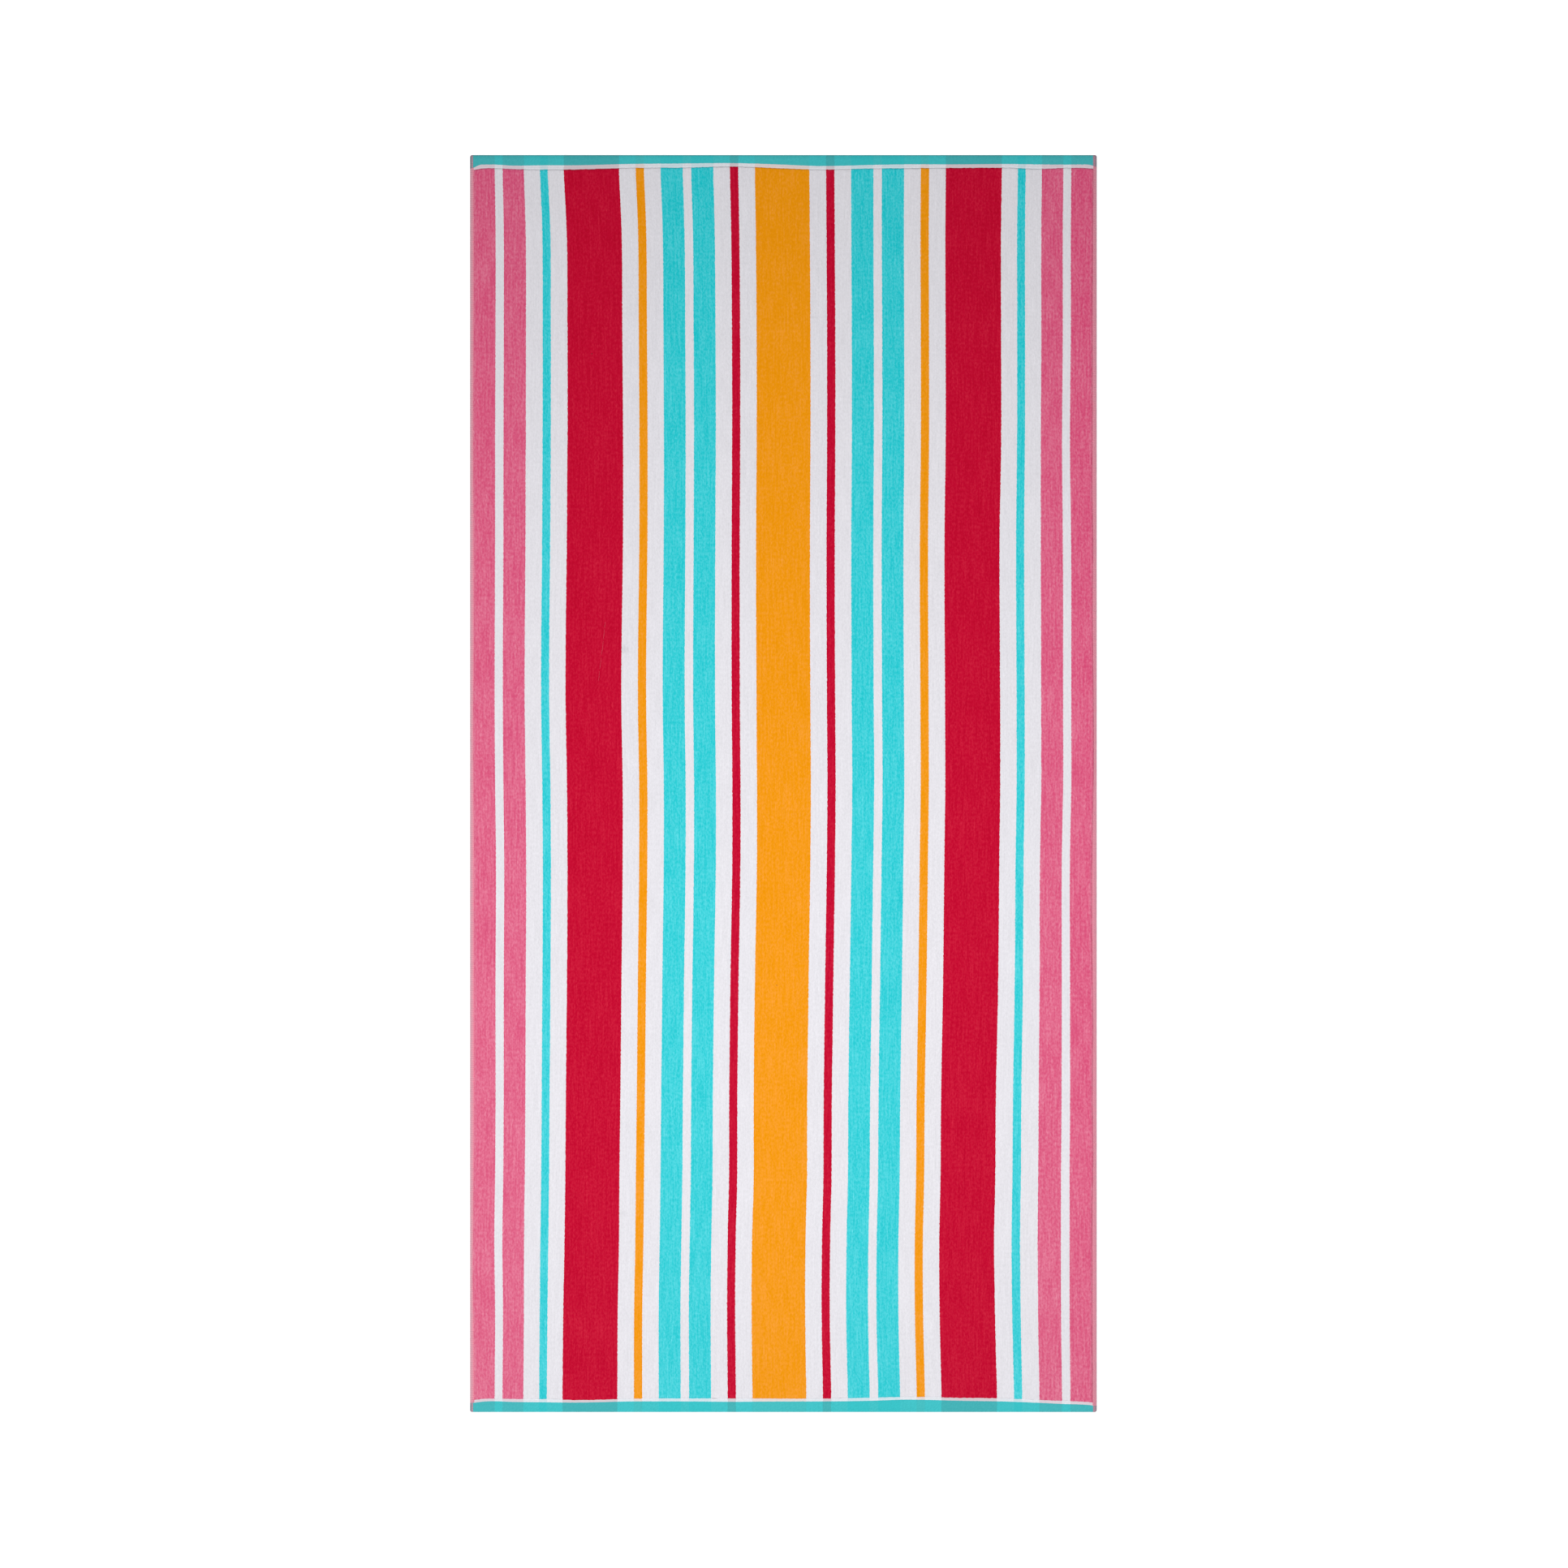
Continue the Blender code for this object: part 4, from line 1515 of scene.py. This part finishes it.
def make_flat_weave():
    material, tree, shader = new_material("flat_weave", 0.88, 0.04)
    woven = attribute(tree, "woven").outputs["Vector"]
    place, _, line = parts_of(tree, woven)
    distance, width, turns = parts_of(tree, attribute(tree, "rim").outputs["Vector"])
    stray = spread(tree, stretched(tree, woven, 1.6, 1.6), 2.0)
    line = times_plus(tree, stray, LINE_STRAY, line)
    strip = times_plus(tree, stray, STRIP_STRAY, minus(tree, width, distance))
    in_white = remap(tree, line, -LINE_SOFTNESS, LINE_SOFTNESS)
    in_pile = remap(tree, line, 1.0, 1.0 + PILE_SOFTNESS)
    in_strip = remap(tree, strip, -STRIP_SOFTNESS, STRIP_SOFTNESS)
    weft = mix_colour(tree, in_white, TURQUOISE_WEFT, WHITE_WEFT)
    warp = place_group(tree, WARP_GROUP, {"Woven": woven, "Fray": 0.35})
    yarn = mix_colour(tree, in_strip, warp["Yarn"], STRIP_WARP)
    darkness = minus(tree, 1.0, warp["Under weft"])
    share = times_plus(tree, darkness, DARK_WARP_SHOWS, WARP_IN_TURQUOISE)
    share = pick(tree, in_white, share, WARP_IN_WHITE)
    share = pick(tree, in_pile, share, UNDER_PILE_WARP_AND_PAINTED_SHADOW[0])
    on_right = maths(tree, "GREATER_THAN", place, 0.0)
    hem = HemLook(*[pick(tree, on_right, *pair) for pair in zip(LEFT_HEM, RIGHT_HEM)])
    strip_share = times_plus(tree, distance, hem.share_gain, hem.share)
    in_band = pick(tree, in_white, STRIP_IN_BAND[0], 1.0)
    share = pick(tree, in_strip, share, times(tree, strip_share, in_band))
    half_way = times_plus(tree, warp["Under weft"], 0.5, 0.5)
    shade = pick(tree, in_white, warp["Under weft"], half_way)
    # Painted shadow: where the cloth runs under the pile's edge it is painted darker.
    shade = pick(tree, in_pile, shade, UNDER_PILE_WARP_AND_PAINTED_SHADOW[1])
    # The two cords of the white line are painted: lighter on their crowns and darker in the
    # grooves, painted light and shade of their relief.
    painted_cord_relief = maths(tree, "COSINE", times(tree, line, 4 * math.pi))
    painted_cord_relief = times_plus(tree, painted_cord_relief, -PAINTED_CORD_SHADING, 1.0)
    shade = times(tree, shade, pick(tree, in_white, 1.0, painted_cord_relief))
    strip_shade = times_plus(tree, distance, hem.shade_gain, hem.shade)
    in_band = pick(tree, in_white, STRIP_IN_BAND[1], 1.0)
    strip_shade = times(tree, strip_shade, in_band)
    # Painted shade of the ribs: the strip is painted darker at each needle hole and lighter on the
    # ribs between, scaled by the pull there.
    wave = maths(tree, "COSINE", times(tree, turns, 2 * math.pi))
    dent = maths(tree, "POWER", times_plus(tree, wave, 0.5, 0.5), 2.0)
    dent = times(tree, minus(tree, MEAN_DENT, dent), hem.dents)
    dent = times_plus(tree, dent, attribute(tree, "pull").outputs["Fac"], 1.0)
    shade = pick(tree, in_strip, shade, times(tree, strip_shade, dent))
    inputs = {"Woven": woven, "Warp colour": yarn, "Weft colour": weft}
    weave = place_group(tree, WEAVE_GROUP, {**inputs, "Warp share": share, "Shade": shade})
    feed(tree, shader.inputs["Base Color"], weave["Colour"])
    feed(tree, shader.inputs["Roughness"], remap(tree, weave["Height"], -1.5, 1.5, 0.94, 0.82))
    feed(tree, shader.inputs["Normal"], bump(tree, weave["Height"], 0.02 * MM))
    return material


flat_weave = make_flat_weave()
print(flat_weave.name, "has", len(flat_weave.node_tree.nodes), "nodes")

# %% [markdown]
# ## Threads, fibres and specks
# Sewing thread is two fine plies twisted together. A slanting band of light and dark along the
# thread gives the twist. The loose fibre is plain cotton, and the specks are brown seed coat.
# The faces inside the hems and under the pile, which nobody sees, wear a plain cotton, painted
# dark as painted shade so that the slit of each turned hem stays dark.

# %% Make the small materials
THREAD_SLANT = (0.6, 0.0, 0.6)


def make_thread(name, colour, twist_mm, contrast):
    material, tree, shader = new_material(name, 0.8, 0.15)
    place = node(tree, "NewGeometry").outputs["Position"]
    slanted = node(tree, "Mapping", {0: place, 2: THREAD_SLANT}).outputs[0]
    cells = node(tree, "Mapping", {0: slanted, 3: (1 / (twist_mm * MM),) * 3}).outputs[0]
    ply = node(tree, "TexWave", {0: cells, 1: 1.0, "Distortion": 1.5}, bands_direction="Y")
    shade = remap(tree, ply.outputs["Fac"], 0.0, 1.0, 1 - contrast, 1.0)
    feed(tree, shader.inputs["Base Color"], shaded(tree, colour[:3], shade))
    feed(tree, shader.inputs["Roughness"], remap(tree, ply.outputs["Fac"], 0.0, 1.0, 0.9, 0.7))
    feed(tree, shader.inputs["Normal"], bump(tree, ply.outputs["Fac"], 0.01 * MM))
    return material


# The right hem's thread is the same thread painted darker: painted shade, as its stitches sink
# into the hem.
hem_threads = [
    make_thread("hem_thread_left", linear((250, 178, 192)), 0.5, 0.15),
    make_thread("hem_thread_right_shaded", linear((222, 142, 160)), 0.5, 0.15),
]
loose_cotton = make_thread("loose_cotton", linear((228, 96, 118)), 0.6, 0.2)
seed_coat = make_thread("seed_coat", linear((88, 44, 40)), 0.7, 0.5)
# Painted shade: the hidden cotton is a dark grey so that the hems' slits stay dark.
shaded_hidden_cotton, _, hidden_shader = new_material("shaded_hidden_cotton", 0.9, 0.1)
hidden_shader.inputs["Base Color"].default_value = linear((150, 138, 140))
print("materials:", len(bpy.data.materials))

# %% Dress the pieces
def dress(piece, *materials):
    for material in materials:
        piece.data.materials.append(material)


dress(flat_cloth, flat_weave, shaded_hidden_cotton)
dress(terry_back, terry, shaded_hidden_cotton)
for panel in pile_panels:
    dress(panel, velour, shaded_hidden_cotton)
for seam, thread in zip(stitches, hem_threads):
    dress(seam, thread)
dress(loose_fibres, loose_cotton)
dress(cotton_specks, seed_coat)
print("all pieces are dressed")

# %% [markdown]
# ## Floor, light and camera
# The photo was taken from straight above with a long lens, in soft light that falls off towards
# the far end, on plain white. A large soft light hangs over the near half, and the white world
# fills in. Seen from the camera the floor glows, as a lit table does, so that it stays whiter than
# the cloth. The Light Path node keeps that glow off the towel's own edges.

# %% Lay the floor
FLOOR_SIZE = 80.0
FLOOR_DROP = 0.02 * MM
FLOOR_GLOW = 0.7


def make_floor():
    half = FLOOR_SIZE / 2
    mesh = bpy.data.meshes.new("floor")
    corners = [(-half, -half), (half, -half), (half, half), (-half, half)]
    mesh.from_pydata([(x, y, -FLOOR_DROP) for x, y in corners], [], [(0, 1, 2, 3)])
    floor = bpy.data.objects.new("floor", mesh)
    bpy.context.scene.collection.objects.link(floor)
    material = bpy.data.materials.new("pale_floor")
    material.use_nodes = True
    tree = material.node_tree
    shader = tree.nodes["Principled BSDF"]
    shader.inputs["Base Color"].default_value = (0.75, 0.75, 0.75, 1.0)
    shader.inputs["Roughness"].default_value = 0.9
    shader.inputs["Emission Color"].default_value = (1.0, 1.0, 1.0, 1.0)
    seen = node(tree, "LightPath").outputs["Is Camera Ray"]
    feed(tree, shader.inputs["Emission Strength"], times(tree, seen, FLOOR_GLOW))
    mesh.materials.append(material)
    return floor


floor = make_floor()
print("floor:", FLOOR_SIZE, "m square")

# %% Hang the lights
Lamp = namedtuple("Lamp", "name place aim size power")
LAMPS = (
    Lamp("overhead_softbox", (0.10, -0.25, 2.0), (0.10, -0.25, 0.0), 1.2, 29.8),
    Lamp("low_side_softbox", (-4.0, -2.4, 2.0), (0.0, 0.0, 0.0), 1.6, 107.0),
)
WORLD_STRENGTH = 0.20


def hang(lamp):
    data = bpy.data.lights.new(lamp.name, "AREA")
    data.shape = "SQUARE"
    data.size = lamp.size
    data.energy = lamp.power
    light = bpy.data.objects.new(lamp.name, data)
    light.location = lamp.place
    towards = Vector(lamp.aim) - light.location
    light.rotation_euler = towards.to_track_quat("-Z", "Y").to_euler()
    light.visible_camera = False
    bpy.context.scene.collection.objects.link(light)


for lamp in LAMPS:
    hang(lamp)
world = bpy.data.worlds.new("white_room")
world.use_nodes = True
background = world.node_tree.nodes["Background"]
background.inputs["Color"].default_value = (1.0, 1.0, 1.0, 1.0)
background.inputs["Strength"].default_value = WORLD_STRENGTH
bpy.context.scene.world = world
bpy.context.scene.view_settings.view_transform = "Standard"
print("lamps:", [lamp.name for lamp in LAMPS])

# %% Set the camera
PHOTO_PIXELS = 1932
PIXEL_SIZE = 0.985 * MM
TOWEL_CENTRE = (965.25, 965.5)
LENS = 100.0
SENSOR = 36.0


def set_camera():
    data = bpy.data.cameras.new("photo_camera")
    data.lens = LENS
    data.sensor_width = SENSOR
    data.clip_end = 2.5 * FLOOR_SIZE
    camera = bpy.data.objects.new("photo_camera", data)
    view_width = PHOTO_PIXELS * PIXEL_SIZE
    height = view_width * LENS / SENSOR + PILE_HEIGHT
    x = (PHOTO_PIXELS / 2 - TOWEL_CENTRE[0]) * PIXEL_SIZE
    y = (TOWEL_CENTRE[1] - PHOTO_PIXELS / 2) * PIXEL_SIZE
    camera.location = (x, y, height)
    bpy.context.scene.collection.objects.link(camera)
    bpy.context.scene.camera = camera
    return camera


camera = set_camera()
print(f"camera {camera.location.z:.2f} m above the towel")

# %% [markdown]
# ## Attach the pieces
# Every piece rides on the towel's one body. The flat cloth, its pile and its back together stand
# for the solid, which is hidden. The cloth was cut larger than it is now by the
# hems that were turned under.

towel_pieces = [flat_cloth, terry_back, *pile_panels]
small_pieces = [*stitches, loose_fibres, cotton_specks]
for piece in towel_pieces + small_pieces:
    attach(piece, "root")
for piece in towel_pieces:
    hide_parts("towel")
total = sum(triangle_count(piece) for piece in towel_pieces + small_pieces)
